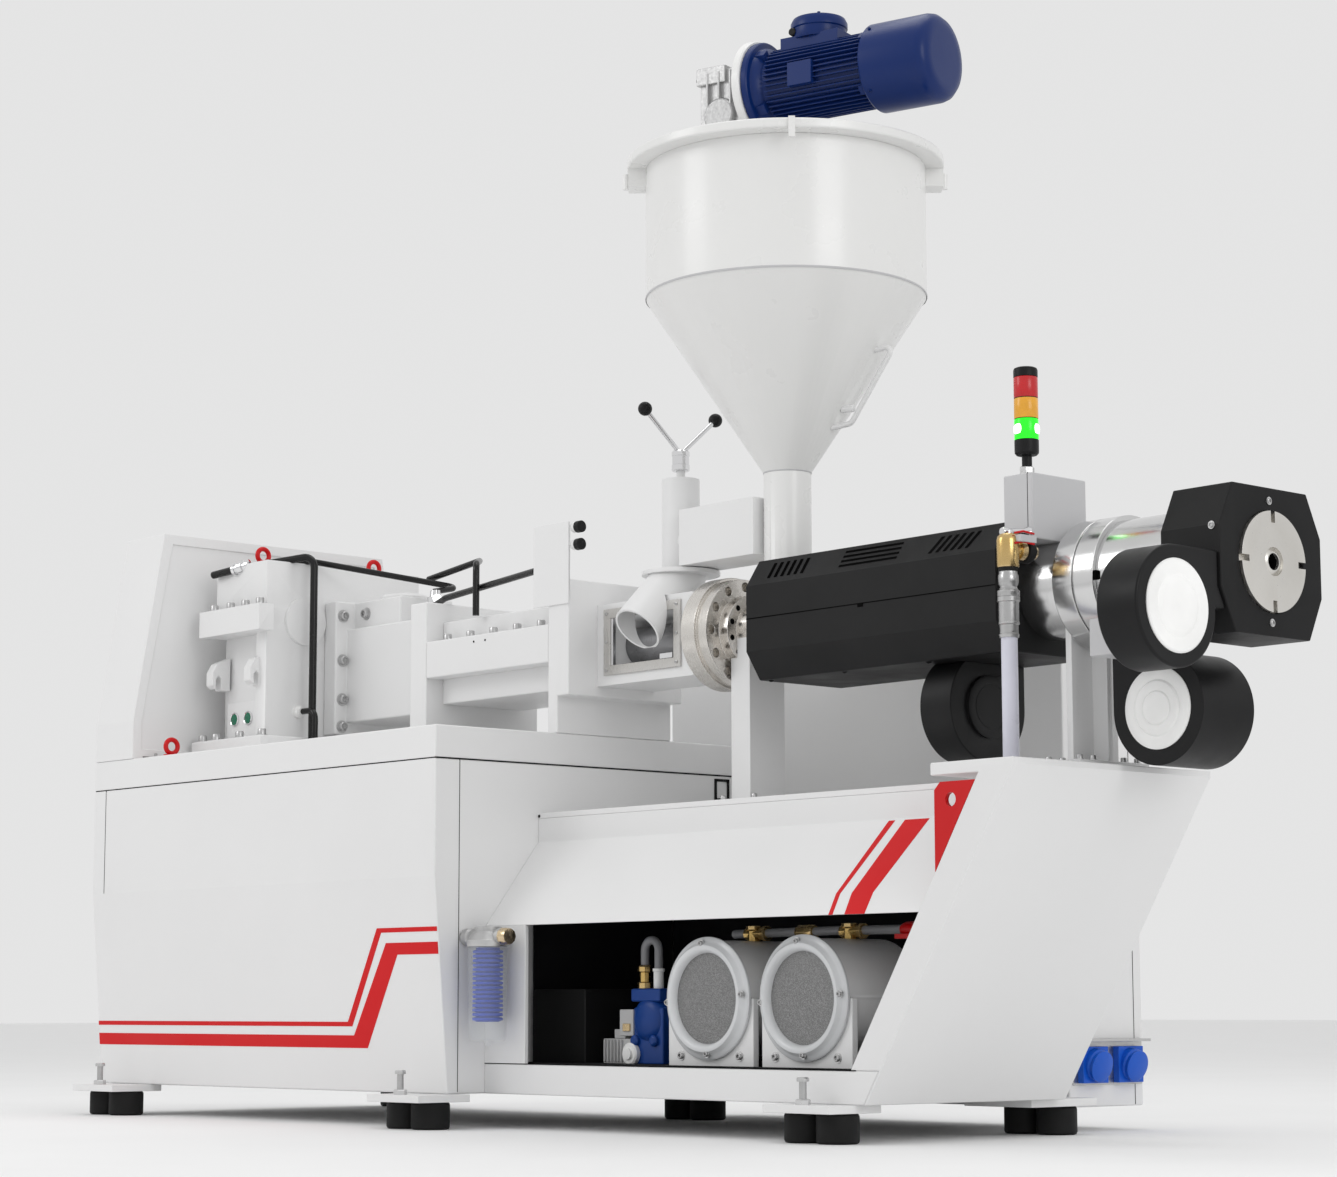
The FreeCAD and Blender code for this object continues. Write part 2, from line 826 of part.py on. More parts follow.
def coupling():
    """The coupling between the gearbox and the thrust bracket, with its flange and cap."""
    flange = block(
        "coupling_flange",
        (GEAR_END, FLANGE_END),
        ("axis_y - flange_half_width", "axis_y + flange_half_width"),
        (f"{DECK_Z} + flange_foot", f"{DECK_Z} + flange_foot + flange_height"),
    )
    housing = block(
        "coupling_housing",
        (FLANGE_END, "bracket_start"),
        ("axis_y - coupling_half_width", "axis_y + coupling_half_width"),
        (f"{DECK_Z} + coupling_foot", f"{DECK_Z} + coupling_foot + coupling_height"),
    )
    cap_low = f"({DECK_Z} + coupling_foot + coupling_height)"
    cap = block(
        "coupling_cap",
        (FLANGE_END, f"{FLANGE_END} + coupling_cap_length"),
        ("axis_y - coupling_cap_half_width", "axis_y + coupling_cap_half_width"),
        (cap_low, f"{cap_low} + coupling_cap_height"),
    )
    return [joined("coupling_guard", flange, housing, cap)]


def thrust_bracket():
    """Two upright plates tied by beams, with the thrust block between them and a gauge plate."""
    low_y = "(axis_y - bracket_half_width)"
    high_y = "(axis_y + bracket_half_width)"
    top = f"({DECK_Z} + bracket_height)"
    drive_end = "(bracket_start + drive_plate)"
    drive_plate = block("bracket_drive_plate", ("bracket_start", drive_end), (low_y, high_y), (DECK_Z, top))
    screw_plate = block(
        "screw_plate_blank",
        ("screw_plate_start", SCREW_PLATE_END),
        (low_y, high_y),
        (f"{DECK_Z} + pedestal_height", top),
    )
    pedestal = block(
        "bracket_pedestal",
        ("screw_plate_start", "screw_plate_start + pedestal_depth"),
        (low_y, high_y),
        (DECK_Z, f"{DECK_Z} + pedestal_height"),
    )
    beams = []
    for name, low in (("front", low_y), ("rear", f"{high_y} - beam_depth")):
        beams.append(block(
            f"{name}_beam",
            (drive_end, "screw_plate_start"),
            (low, f"{low} + beam_depth"),
            (f"{DECK_Z} + beam_foot", f"{DECK_Z} + beam_foot + beam_height"),
        ))
    thrust = block(
        "thrust_block",
        (drive_end, "screw_plate_start"),
        (f"{low_y} + beam_depth", f"{high_y} - beam_depth"),
        (f"{DECK_Z} + thrust_foot", f"{DECK_Z} + thrust_foot + thrust_height"),
    )
    gauge_end = "(screw_plate_start - 48 + gauge_plate_length)"
    plate = block(
        "gauge_plate_sheet",
        (f"{gauge_end} - gauge_plate_length", gauge_end),
        (f"{low_y} - gauge_plate", low_y),
        (f"{DECK_Z} + gauge_plate_foot", f"{DECK_Z} + gauge_plate_foot + gauge_plate_height"),
    )
    gauges = []
    for number, drop in enumerate((14, 54)):
        centre = (f"{low_y} + gauge_radius", f"{DECK_Z} + gauge_plate_foot + gauge_plate_height - {drop}")
        gauges.append(rod(f"gauge_{number + 1}", "x", centre, "gauge_radius", gauge_end, f"{gauge_end} + gauge_length"))
    bore = rod(
        "screw_plate_bore", "x", ("axis_y", "axis_z"), "screw_radius + running_gap",
        "screw_plate_start - 1", f"{SCREW_PLATE_END} + 1",
    )
    bored = cut("screw_plate_bored", screw_plate, bore)
    return [
        drive_plate,
        joined("bracket_screw_plate", bored, pedestal),
        group("bracket_beams", *beams),
        thrust,
        joined("gauge_plate", plate, *gauges),
    ]


def feed_block():
    """The block that the screw passes through, with a framed window onto the screw."""
    low_y = "(axis_y - feed_half_width)"
    high_y = "(axis_y + feed_half_width)"
    low_z = f"({DECK_Z} + feed_foot)"
    frame_x = ("(feed_start + window_margin)", f"({FEED_END} - window_margin - 9)")
    frame_z = (f"({low_z} + window_frame_border)", f"({FEED_TOP} - 13)")
    hole_x = (f"{frame_x[0]} + window_frame_border", f"{frame_x[1]} - window_frame_border")
    hole_z = (f"{frame_z[0]} + window_frame_border", f"{frame_z[1]} - window_frame_border")
    blank = block("feed_blank", ("feed_start", FEED_END), (low_y, high_y), (low_z, FEED_TOP))
    pocket = block("window_pocket_space", hole_x, (f"{low_y} - 1", f"{low_y} + window_pocket"), hole_z)
    bore = rod("screw_bore", "x", ("axis_y", "axis_z"), "screw_radius + running_gap", "feed_start - 1", f"{FEED_END} + 1")
    plate = block("window_plate", frame_x, (f"{low_y} - window_frame", low_y), frame_z)
    hole = block("window_hole", hole_x, (f"{low_y} - window_frame - 1", f"{low_y} + 1"), hole_z)
    screw = rod("extruder_screw", "x", ("axis_y", "axis_z"), "screw_radius", "screw_plate_start", FEED_END)
    return [cut("feed_block", blank, joined("feed_space", pocket, bore)), cut("window_frame", plate, hole), screw]


def feeder():
    """The throat on the feed block, its discharge chute, the feeder tube and the box to the hopper."""
    axis = ("feeder_x", "axis_y")
    throat = rod("throat_neck", "z", axis, "throat_radius", FEED_TOP, DISC_Z)
    disc = rod("throat_disc", "z", axis, "disc_radius", DISC_Z, DISC_TOP)
    chute = doc.addObject("Part::Cylinder", "chute_tube")
    bore = doc.addObject("Part::Cylinder", "chute_bore")
    for tube, radius, length in (
        (chute, "chute_radius", "chute_reach"),
        (bore, "chute_radius - chute_wall", "chute_bore_depth"),
    ):
        tube.Placement = Placement(Vector(), Rotation(Vector(1, 0, 0), -45))
        bind(tube, {"Radius": radius, "Height": length})
    reach = "(chute_reach / sqrt(2))"
    place(chute, "feeder_x", f"axis_y - {reach}", f"{DISC_Z} - {reach}")
    place(bore, "feeder_x", f"axis_y - {reach}", f"{DISC_Z} - {reach}")
    above = block(
        "space_over_disc",
        ("feeder_x - 200", "feeder_x + 200"),
        ("axis_y - 200", "axis_y + 300"),
        (DISC_Z, f"{DISC_Z} + 300"),
    )
    feed_space = block(
        "space_of_feed_block",
        ("feed_start", FEED_END),
        ("axis_y - feed_half_width - window_frame", "axis_y + 300"),
        (f"{DECK_Z} + feed_foot", FEED_TOP),
    )
    neck_space = rod("space_of_neck", "z", axis, "throat_radius", f"{FEED_TOP} - 1", DISC_TOP)
    chute_space = joined("space_round_chute", bore, above, feed_space, neck_space)
    discharge = cut("discharge_chute", chute, chute_space)
    tube = rod("feeder_tube", "z", axis, "feeder_tube_radius", DISC_TOP, TUBE_TOP)
    stem = rod("feeder_stem", "z", axis, "stem_radius", TUBE_TOP, f"{TUBE_TOP} + stem_height")
    box_start = "(feeder_x + feeder_box_start)"
    level = f"({DISC_TOP} + feeder_box_lift)"
    box = block(
        "feeder_box_blank",
        (box_start, "hopper_x - pipe_radius + 6"),
        ("axis_y - feeder_box_half_width", "axis_y + feeder_box_half_width"),
        (level, f"{level} + feeder_box_height"),
    )
    centre = ("axis_y", f"{level} + feeder_box_height / 2")
    spigot = rod("feeder_spigot", "x", centre, "spigot_radius", "feeder_x", box_start)
    tube_space = rod("space_of_tube", "z", axis, "feeder_tube_radius", DISC_Z, TUBE_TOP)
    pipe_space = rod("space_of_pipe", "z", ("hopper_x", "axis_y"), "pipe_radius", DISC_Z, CONE_Z)
    channel = cut(
        "feeder_box",
        joined("feeder_box_with_spigot", box, spigot),
        joined("space_beside_box", tube_space, pipe_space),
    )
    return [joined("feeder_column", throat, disc, tube, stem), discharge, channel]


def two_ball_lever():
    """The hub and two ball-ended arms that turn the feeder's slide, above the feeder tube."""
    axis = ("feeder_x", "axis_y")
    hub = rod("lever_hub", "z", axis, "hub_radius", HUB_Z, f"{HUB_Z} + hub_height")
    bore = rod(
        "lever_bore", "z", axis, "stem_radius + running_gap",
        f"{HUB_Z} - 1", f"{TUBE_TOP} + stem_height + running_gap",
    )
    reach = value("ball_reach")
    rise = value("ball_height")
    pieces = [cut("lever_hub_bored", hub, bore)]
    for side in (-1, 1):
        arm = doc.addObject("Part::Cylinder", f"lever_arm_{side + 2}")
        direction = Vector(0, side * reach, rise)
        arm.Placement = Placement(Vector(), Rotation(Vector(0, 0, 1), direction))
        bind(arm, {"Radius": "arm_radius", "Height": "sqrt(ball_reach * ball_reach + ball_height * ball_height)"})
        place(arm, "feeder_x", "axis_y", f"{HUB_Z} + hub_height - 8")
        ball = doc.addObject("Part::Sphere", f"lever_ball_{side + 2}")
        bind(ball, {"Radius": "ball_radius"})
        place(ball, "feeder_x", f"axis_y + {side} * ball_reach", f"{HUB_Z} + hub_height - 8 + ball_height")
        pieces += [arm, ball]
    return [joined("lever_handle", *pieces)]


def barrel():
    """The barrel with its bolted flange, and the black cover round the heated length."""
    axis = ("axis_y", "axis_z")
    flange = turned("bolted_flange", "x", axis, [
        (FEED_END, "0"),
        (FEED_END, "ring_radius"),
        (RING_END, "ring_radius"),
        (RING_END, "second_ring_radius"),
        (SECOND_RING_END, "second_ring_radius"),
        (SECOND_RING_END, "barrel_hub_radius"),
        (BARREL_START, "barrel_hub_radius"),
        (BARREL_START, "0"),
    ])
    doc.recompute()
    circle = flange.newObject("Sketcher::SketchObject", "flange_hole_circle_sketch")
    circle.AttachmentSupport = (origin_item(flange, "YZ_Plane"), "")
    circle.MapMode = "FlatFace"
    circle.addGeometry(Part.Circle(Vector(value("flange_hole_circle"), 0, 0), Vector(0, 0, 1), value("flange_hole_radius")), False)
    for kind, places, text in (
        ("Radius", (0,), "flange_hole_radius"),
        ("DistanceX", (-1, 1, 0, 3), "flange_hole_circle"),
        ("DistanceY", (-1, 1, 0, 3), "0"),
    ):
        number = circle.addConstraint(Sketcher.Constraint(kind, *places, value(text)))
        circle.setExpression(f"Constraints[{number}]", bound(text))
    circle.setExpression("AttachmentOffset.Base.z", bound(SECOND_RING_END))
    hole = flange.newObject("PartDesign::Pocket", "flange_hole")
    hole.Profile = circle
    bind(hole, {"Length": "flange_hole_depth"})
    ring = flange.newObject("PartDesign::PolarPattern", "flange_holes")
    ring.Originals = [hole]
    ring.Axis = (origin_item(flange, "X_Axis"), [""])
    ring.Angle = 360
    ring.Occurrences = 12
    flange.Tip = ring
    tube = rod("barrel_tube", "x", axis, "barrel_radius", BARREL_START, COVER_END)
    corners = chamfered("cover_half_width", "cover_half_height", "cover_chamfer_y", "cover_chamfer_z")
    cover = cut(
        "barrel_cover",
        prism("barrel_cover_blank", "x", corners, "cover_start", COVER_END),
        rod("barrel_cover_bore", "x", axis, "barrel_radius + running_gap", "cover_start - 1", f"{COVER_END} + 1"),
    )
    return [joined("barrel", flange, tube), cover]


def die_end():
    """The steel neck, split clamp and adapter, and the die inside its black cover."""
    axis = ("axis_y", "axis_z")
    neck = rod("adapter_neck", "x", axis, "neck_radius", COVER_END, NECK_END)
    first = f"({NECK_END} + clamp_ring_length)"
    clamp = turned("clamp_rings", "x", axis, [
        (NECK_END, "0"),
        (NECK_END, "clamp_radius"),
        (first, "clamp_radius"),
        (first, "clamp_core_radius"),
        (f"{first} + clamp_split", "clamp_core_radius"),
        (f"{first} + clamp_split", "clamp_radius"),
        (CLAMP_END, "clamp_radius"),
        (CLAMP_END, "0"),
    ])
    adapter = rod("adapter_drum", "x", axis, "adapter_radius", CLAMP_END, ADAPTER_END)
    corners = chamfered("die_half_width", "die_half_height", "die_chamfer_y", "die_chamfer_z")
    cover = cut(
        "die_cover",
        prism("die_cover_blank", "x", corners, "die_cover_start", DIE_COVER_END),
        joined(
            "die_cover_bore",
            rod("adapter_seat", "x", axis, "adapter_radius + running_gap", "die_cover_start - 1", ADAPTER_END),
            rod("die_seat", "x", axis, "die_radius + running_gap", ADAPTER_END, f"{DIE_COVER_END} + 1"),
        ),
    )
    spaces = [
        rod("die_bore", "x", axis, "die_bore_radius", f"{MACHINE_END} - die_bore_depth", f"{MACHINE_END} + 1"),
        rod("die_recess", "x", axis, "die_recess_radius", f"{MACHINE_END} - die_recess_depth", f"{MACHINE_END} + 1"),
    ]
    for number, (y, z) in enumerate(((1, 0), (-1, 0), (0, 1), (0, -1))):
        half = ("notch_depth" if y else "notch_width / 2", "notch_depth" if z else "notch_width / 2")
        centre = (f"(axis_y + {y} * die_radius)", f"(axis_z + {z} * die_radius)")
        spaces.append(block(
            f"die_notch_{number + 1}",
            (f"{DIE_COVER_END} - 8", f"{MACHINE_END} + 1"),
            (f"{centre[0]} - {half[0]}", f"{centre[0]} + {half[0]}"),
            (f"{centre[1]} - {half[1]}", f"{centre[1]} + {half[1]}"),
        ))
    die = cut("die_plate", rod("die_blank", "x", axis, "die_radius", ADAPTER_END, MACHINE_END), joined("die_spaces", *spaces))
    return [group("die_adapter", neck, adapter), clamp, cover, die]


def blowers():
    """Three cooling blowers: one under the barrel cover and two at the die."""
    under = "(axis_z - cover_half_height)"
    end = "(barrel_blower_start + barrel_blower_length)"
    centre = ("axis_y", "axis_z - barrel_blower_drop")
    drum = rod("barrel_blower_drum", "x", centre, "barrel_blower_radius", "barrel_blower_start", end)
    duct = block(
        "barrel_blower_duct",
        ("barrel_blower_start", end),
        ("axis_y", "axis_y + barrel_blower_radius"),
        ("axis_z - barrel_blower_drop", under),
    )
    inlet = rod("barrel_blower_inlet", "x", centre, "inlet_radius", end, f"{end} + inlet_step")
    over = block(
        "space_over_barrel_blower",
        ("barrel_blower_start - 1", f"{end} + 1"),
        ("axis_y - 200", "axis_y + 200"),
        (under, f"{under} + 200"),
    )
    barrel_blower = cut("barrel_blower", joined("barrel_blower_blank", drum, duct, inlet), over)
    # side blower, its duct let into the die cover's side
    side_end = f"({DIE_COVER_END} - side_blower_end)"
    side_start = f"({side_end} - side_blower_length)"
    side_z = "(axis_z - side_blower_drop)"
    side_drum = rod("side_blower_drum", "x", ("side_blower_y", side_z), "side_blower_radius", side_start, side_end)
    side_duct = block(
        "side_blower_duct",
        (side_start, side_end),
        ("side_blower_y", "axis_y - die_half_width + die_chamfer_y"),
        (f"{side_z} + side_duct_foot", f"{side_z} + side_blower_radius"),
    )
    corners = chamfered("die_half_width", "die_half_height", "die_chamfer_y", "die_chamfer_z")
    die_space = prism("space_of_die_cover", "x", corners, "die_cover_start", f"{DIE_COVER_END} + 1")
    side_blower = cut("side_blower", joined("side_blower_blank", side_drum, side_duct), die_space)
    side_cap = rod("side_blower_cap", "x", ("side_blower_y", side_z), "disc_cap_radius", side_end, f"{side_end} + disc_cap")
    bracket = block(
        "side_blower_bracket",
        ("blower_bracket_start", side_start),
        ("blower_bracket_y", "blower_bracket_y + blower_bracket_width"),
        (f"{side_z} - 61", f"{side_z} - 61 + blower_bracket_height"),
    )
    bracket_arm = block(
        "side_blower_arm",
        ("blower_bracket_start", "blower_bracket_start + 60"),
        ("blower_bracket_y + blower_bracket_width", "axis_y"),
        (f"{side_z} - 61", f"{side_z} - 61 + blower_bracket_height"),
    )
    adapter_space = rod("space_of_adapter", "x", ("axis_y", "axis_z"), "adapter_radius", CLAMP_END, ADAPTER_END)
    bracket = cut(
        "blower_bracket",
        joined("blower_bracket_blank", bracket, bracket_arm),
        joined("space_behind_bracket", adapter_space, die_space),
    )
    # lower blower, its duct rising to the adapter
    low_z = "(axis_z - lower_blower_drop)"
    low_end = "(lower_blower_front + lower_blower_length)"
    low_centre = ("lower_blower_x", low_z)
    low_drum = rod("lower_blower_drum", "y", low_centre, "lower_blower_radius", "lower_blower_front", low_end)
    low_duct = block(
        "lower_blower_duct",
        ("lower_blower_x - lower_blower_radius", "lower_blower_x - 15"),
        ("lower_blower_front", low_end),
        (low_z, "axis_z - 84"),
    )
    lower = cut(
        "lower_blower",
        joined("lower_blower_blank", low_drum, low_duct),
        joined(
            "space_over_lower_blower",
            rod("space_of_adapter_above", "x", ("axis_y", "axis_z"), "adapter_radius", CLAMP_END, ADAPTER_END),
            block(
                "space_of_bracket_arm",
                ("blower_bracket_start - 1", "blower_bracket_start + 61"),
                ("axis_y - 200", "axis_y + 1"),
                (f"{side_z} - 62", f"{side_z} + 200"),
            ),
        ),
    )
    low_cap = rod("lower_blower_cap", "y", low_centre, "disc_cap_radius - 6", "lower_blower_front - disc_cap", "lower_blower_front")
    return [barrel_blower, side_blower, bracket, lower, group("blower_caps", side_cap, low_cap)]


def columns():
    """The posts that carry the barrel at its flange and at the die."""
    axis = ("axis_y", "axis_z")
    feed_end = "(feed_column_start + feed_column_length)"
    flange = block(
        "feed_column_flange",
        ("feed_column_start - feed_flange_reach", f"{feed_end} + feed_flange_reach"),
        (
            "axis_y - feed_column_half_width - feed_flange_side",
            "axis_y + feed_column_half_width + feed_flange_side",
        ),
        (HOOD_TOP, f"{HOOD_TOP} + column_flange"),
    )
    post = block(
        "feed_column_post",
        ("feed_column_start", feed_end),
        ("axis_y - feed_column_half_width", "axis_y + feed_column_half_width"),
        (f"{HOOD_TOP} + column_flange", "axis_z"),
    )
    barrel_space = joined(
        "space_of_barrel",
        rod("space_of_tube_on_post", "x", axis, "barrel_radius", BARREL_START, COVER_END),
        rod("space_of_hub_on_post", "x", axis, "barrel_hub_radius", SECOND_RING_END, BARREL_START),
    )
    feed_column = cut("feed_column", joined("feed_column_blank", flange, post), barrel_space)
    die_flange = block(
        "die_column_flange",
        ("die_flange_start", "die_flange_start + die_flange_length"),
        ("axis_y - die_flange_half_width", "axis_y + die_flange_half_width"),
        (END_TOP, f"{END_TOP} + column_flange"),
    )
    plate_end = "(die_column_start + die_column)"
    plate = block(
        "die_column_plate",
        ("die_column_start", plate_end),
        ("axis_y - die_column_half_width", "axis_y + die_column_half_width"),
        (f"{END_TOP} + column_flange", "axis_z"),
    )
    gusset = block(
        "die_column_gusset",
        (plate_end, f"{plate_end} + die_gusset_length"),
        ("axis_y - die_gusset / 2", "axis_y + die_gusset / 2"),
        (f"{END_TOP} + column_flange", "axis_z"),
    )
    neck_space = joined(
        "space_of_neck_and_clamp",
        rod("space_of_steel_neck", "x", axis, "neck_radius", COVER_END, NECK_END),
        rod("space_of_clamp", "x", axis, "clamp_radius", NECK_END, CLAMP_END),
    )
    die_column = cut("die_column", joined("die_column_blank", die_flange, plate, gusset), neck_space)
    return [group("barrel_columns", feed_column, die_column)]


def hopper():
    """The hopper: pipe, cone and cylinder as shells, with its lid, lugs, clamp and handles."""
    axis = ("hopper_x", "axis_y")
    pipe = turned("hopper_tube", "z", axis, [
        (BARREL_COVER_TOP, "pipe_radius"),
        (BARREL_COVER_TOP, "pipe_radius - hopper_wall"),
        (CONE_Z, "pipe_radius - hopper_wall"),
        (CONE_Z, "pipe_radius"),
    ])
    saddle = cut(
        "hopper_saddle",
        block(
            "hopper_saddle_blank",
            ("hopper_x - pipe_radius", "cover_start"),
            ("axis_y - pipe_radius", "axis_y + pipe_radius"),
            ("axis_z", BARREL_COVER_TOP),
        ),
        rod("space_of_tube_in_saddle", "x", ("axis_y", "axis_z"), "barrel_radius", BARREL_START, COVER_END),
    )
    cone = turned("hopper_cone", "z", axis, [
        (CONE_Z, "pipe_radius"),
        (CONE_Z, "pipe_radius - hopper_wall"),
        (HOPPER_Z, "hopper_radius - hopper_wall"),
        (HOPPER_Z, "hopper_radius"),
    ])
    shell = turned("hopper_shell", "z", axis, [
        (HOPPER_Z, "hopper_radius"),
        (HOPPER_Z, "hopper_radius - hopper_wall"),
        (LID_Z, "hopper_radius - hopper_wall"),
        (LID_Z, "hopper_radius"),
    ])
    lid = rod("hopper_lid", "z", axis, "lid_radius", LID_Z, LID_TOP)
    shell_space = rod("space_of_shell", "z", axis, "hopper_radius", HOPPER_Z, LID_TOP)
    lugs = []
    for side in (-1, 1):
        near = f"(hopper_x + {side} * (hopper_radius - 10))"
        far = f"(hopper_x + {side} * (hopper_radius + lug_reach))"
        x = (near, far) if side > 0 else (far, near)
        blank = block(
            f"lug_blank_{side + 2}",
            x,
            ("axis_y - lug_width / 2", "axis_y + lug_width / 2"),
            (f"{LID_Z} - 2 * lug_height", LID_Z),
        )
        hook = rod(
            f"lug_hook_{side + 2}", "z", (f"{far} + {side} * hook_radius", "axis_y"), "hook_radius * 1.4",
            f"{LID_Z} - 2 * lug_height", f"{LID_Z} - 6",
        )
        lugs.append(cut(f"lug_{side + 2}", joined(f"lug_with_hook_{side + 2}", blank, hook), shell_space))
    clamp = block(
        "lid_clamp",
        ("hopper_x - clamp_width / 2", "hopper_x + clamp_width / 2"),
        ("axis_y - lid_radius - 8", "axis_y - lid_radius"),
        (f"{LID_Z} - clamp_drop + lid", LID_TOP),
    )
    posts = []
    handle_x = "(hopper_x - handle_offset)"
    low = "(axis_y - handle_side - handle_span / 2)"
    high = "(axis_y - handle_side + handle_span / 2)"
    for y in (low, high):
        posts.append(rod(
            f"lid_handle_post_{len(posts) + 1}", "z", (handle_x, y), "handle_rod_radius",
            LID_TOP, f"{LID_TOP} + handle_height",
        ))
    grip = rod(
        "lid_handle_grip", "y", (handle_x, f"{LID_TOP} + handle_height - handle_rod_radius"),
        "handle_rod_radius", low, high,
    )
    handle = joined("lid_handle", *posts, grip)
    edge_fittings = turned_about(group("lid_edge_fittings", *lugs, clamp), axis, "fittings_turn")
    fittings = group("lid_fittings", edge_fittings, handle)
    return [joined("hopper_pipe", pipe, saddle), cone, shell, lid, fittings]


def mixer_drive():
    """The geared motor on the lid, turned a little off the machine's length."""
    turn = Rotation(Vector(0, 0, 1), value("drive_turn"))
    lying = turn.multiply(Rotation(Vector(0, 1, 0), 90))
    height = f"({LID_TOP} + drive_axis_height)"

    def offset(distance):
        return (
            f"hopper_x + ({distance}) * cos(drive_turn * 1deg)",
            f"axis_y + ({distance}) * sin(drive_turn * 1deg)",
        )

    def round_piece(label, radius, start, length):
        piece = doc.addObject("Part::Cylinder", label)
        piece.Placement = Placement(Vector(), lying)
        bind(piece, {"Radius": radius, "Height": length})
        return place(piece, *offset(start), height)

    unit = doc.addObject("Part::Box", "mixer_gear_unit")
    unit.Placement = Placement(Vector(), turn)
    bind(unit, {"Length": "gear_unit_length", "Width": "2 * gear_unit_half_width", "Height": "gear_unit_height"})
    start_x, start_y = offset("0 - gear_unit_start")
    place(
        unit,
        f"{start_x} + gear_unit_half_width * sin(drive_turn * 1deg)",
        f"{start_y} - gear_unit_half_width * cos(drive_turn * 1deg)",
        LID_TOP,
    )
    lantern_start = "(gear_unit_length - gear_unit_start)"
    flange_start = f"({lantern_start} + lantern_length)"
    motor_start = f"({flange_start} + motor_flange_length)"
    cowl_start = f"({motor_start} + motor_length)"
    lantern = round_piece("mixer_lantern", "lantern_radius", lantern_start, "lantern_length")
    flange = round_piece("motor_flange", "motor_flange_radius", flange_start, "motor_flange_length")
    stator = round_piece("motor_stator", "motor_radius", motor_start, "motor_length")
    cowl = round_piece("motor_cowl", "cowl_radius", cowl_start, "cowl_length")
    centre = offset("terminal_x")
    neck = rod("terminal_neck", "z", centre, "terminal_neck_radius", height, f"{height} + terminal_top - 20")
    box = rod("terminal_drum", "z", centre, "terminal_radius", f"{height} + terminal_top - 50", f"{height} + terminal_top")
    return [joined("mixer_gearbox", unit, lantern), joined("mixer_motor", flange, stator, neck, box, cowl)]


def signals_and_air():
    """The junction box with its signal tower, and the air hose that feeds the valve beside it."""
    end = f"({COVER_END} + junction_length)"
    box = cut(
        "junction_box",
        block(
            "junction_blank",
            (COVER_END, end),
            ("junction_start_y", "junction_start_y + junction_width"),
            (JUNCTION_Z, JUNCTION_TOP),
        ),
        rod("space_under_box", "x", ("axis_y", "axis_z"), "neck_radius", COVER_END, NECK_END),
    )
    at = ("tower_x", "tower_y")
    stem_top = f"({JUNCTION_TOP} + tower_stem_height)"
    tower = joined(
        "signal_tower",
        rod("tower_stem", "z", at, "tower_stem_radius", JUNCTION_TOP, stem_top),
        rod("tower_lights", "z", at, "tower_radius", stem_top, f"{stem_top} + tower_height"),
    )
    at = ("hose_x", "hose_y")
    hose_top = f"({END_TOP} + hose_height)"
    stack_top = f"({hose_top} + coupling_stack)"
    elbow_top = f"({stack_top} + elbow_height)"
    hose = rod("air_hose", "z", at, "hose_radius", END_TOP, hose_top)
    arm_z = f"({elbow_top} - elbow_arm_drop)"
    valve = joined(
        "air_valve",
        rod("hose_coupling", "z", at, "coupling_radius", hose_top, stack_top),
        rod("valve_elbow", "z", at, "elbow_radius", stack_top, elbow_top),
        rod("valve_arm", "y", ("hose_x", arm_z), "elbow_arm_radius", "hose_y", "junction_start_y"),
    )
    return [box, tower, hose, valve]


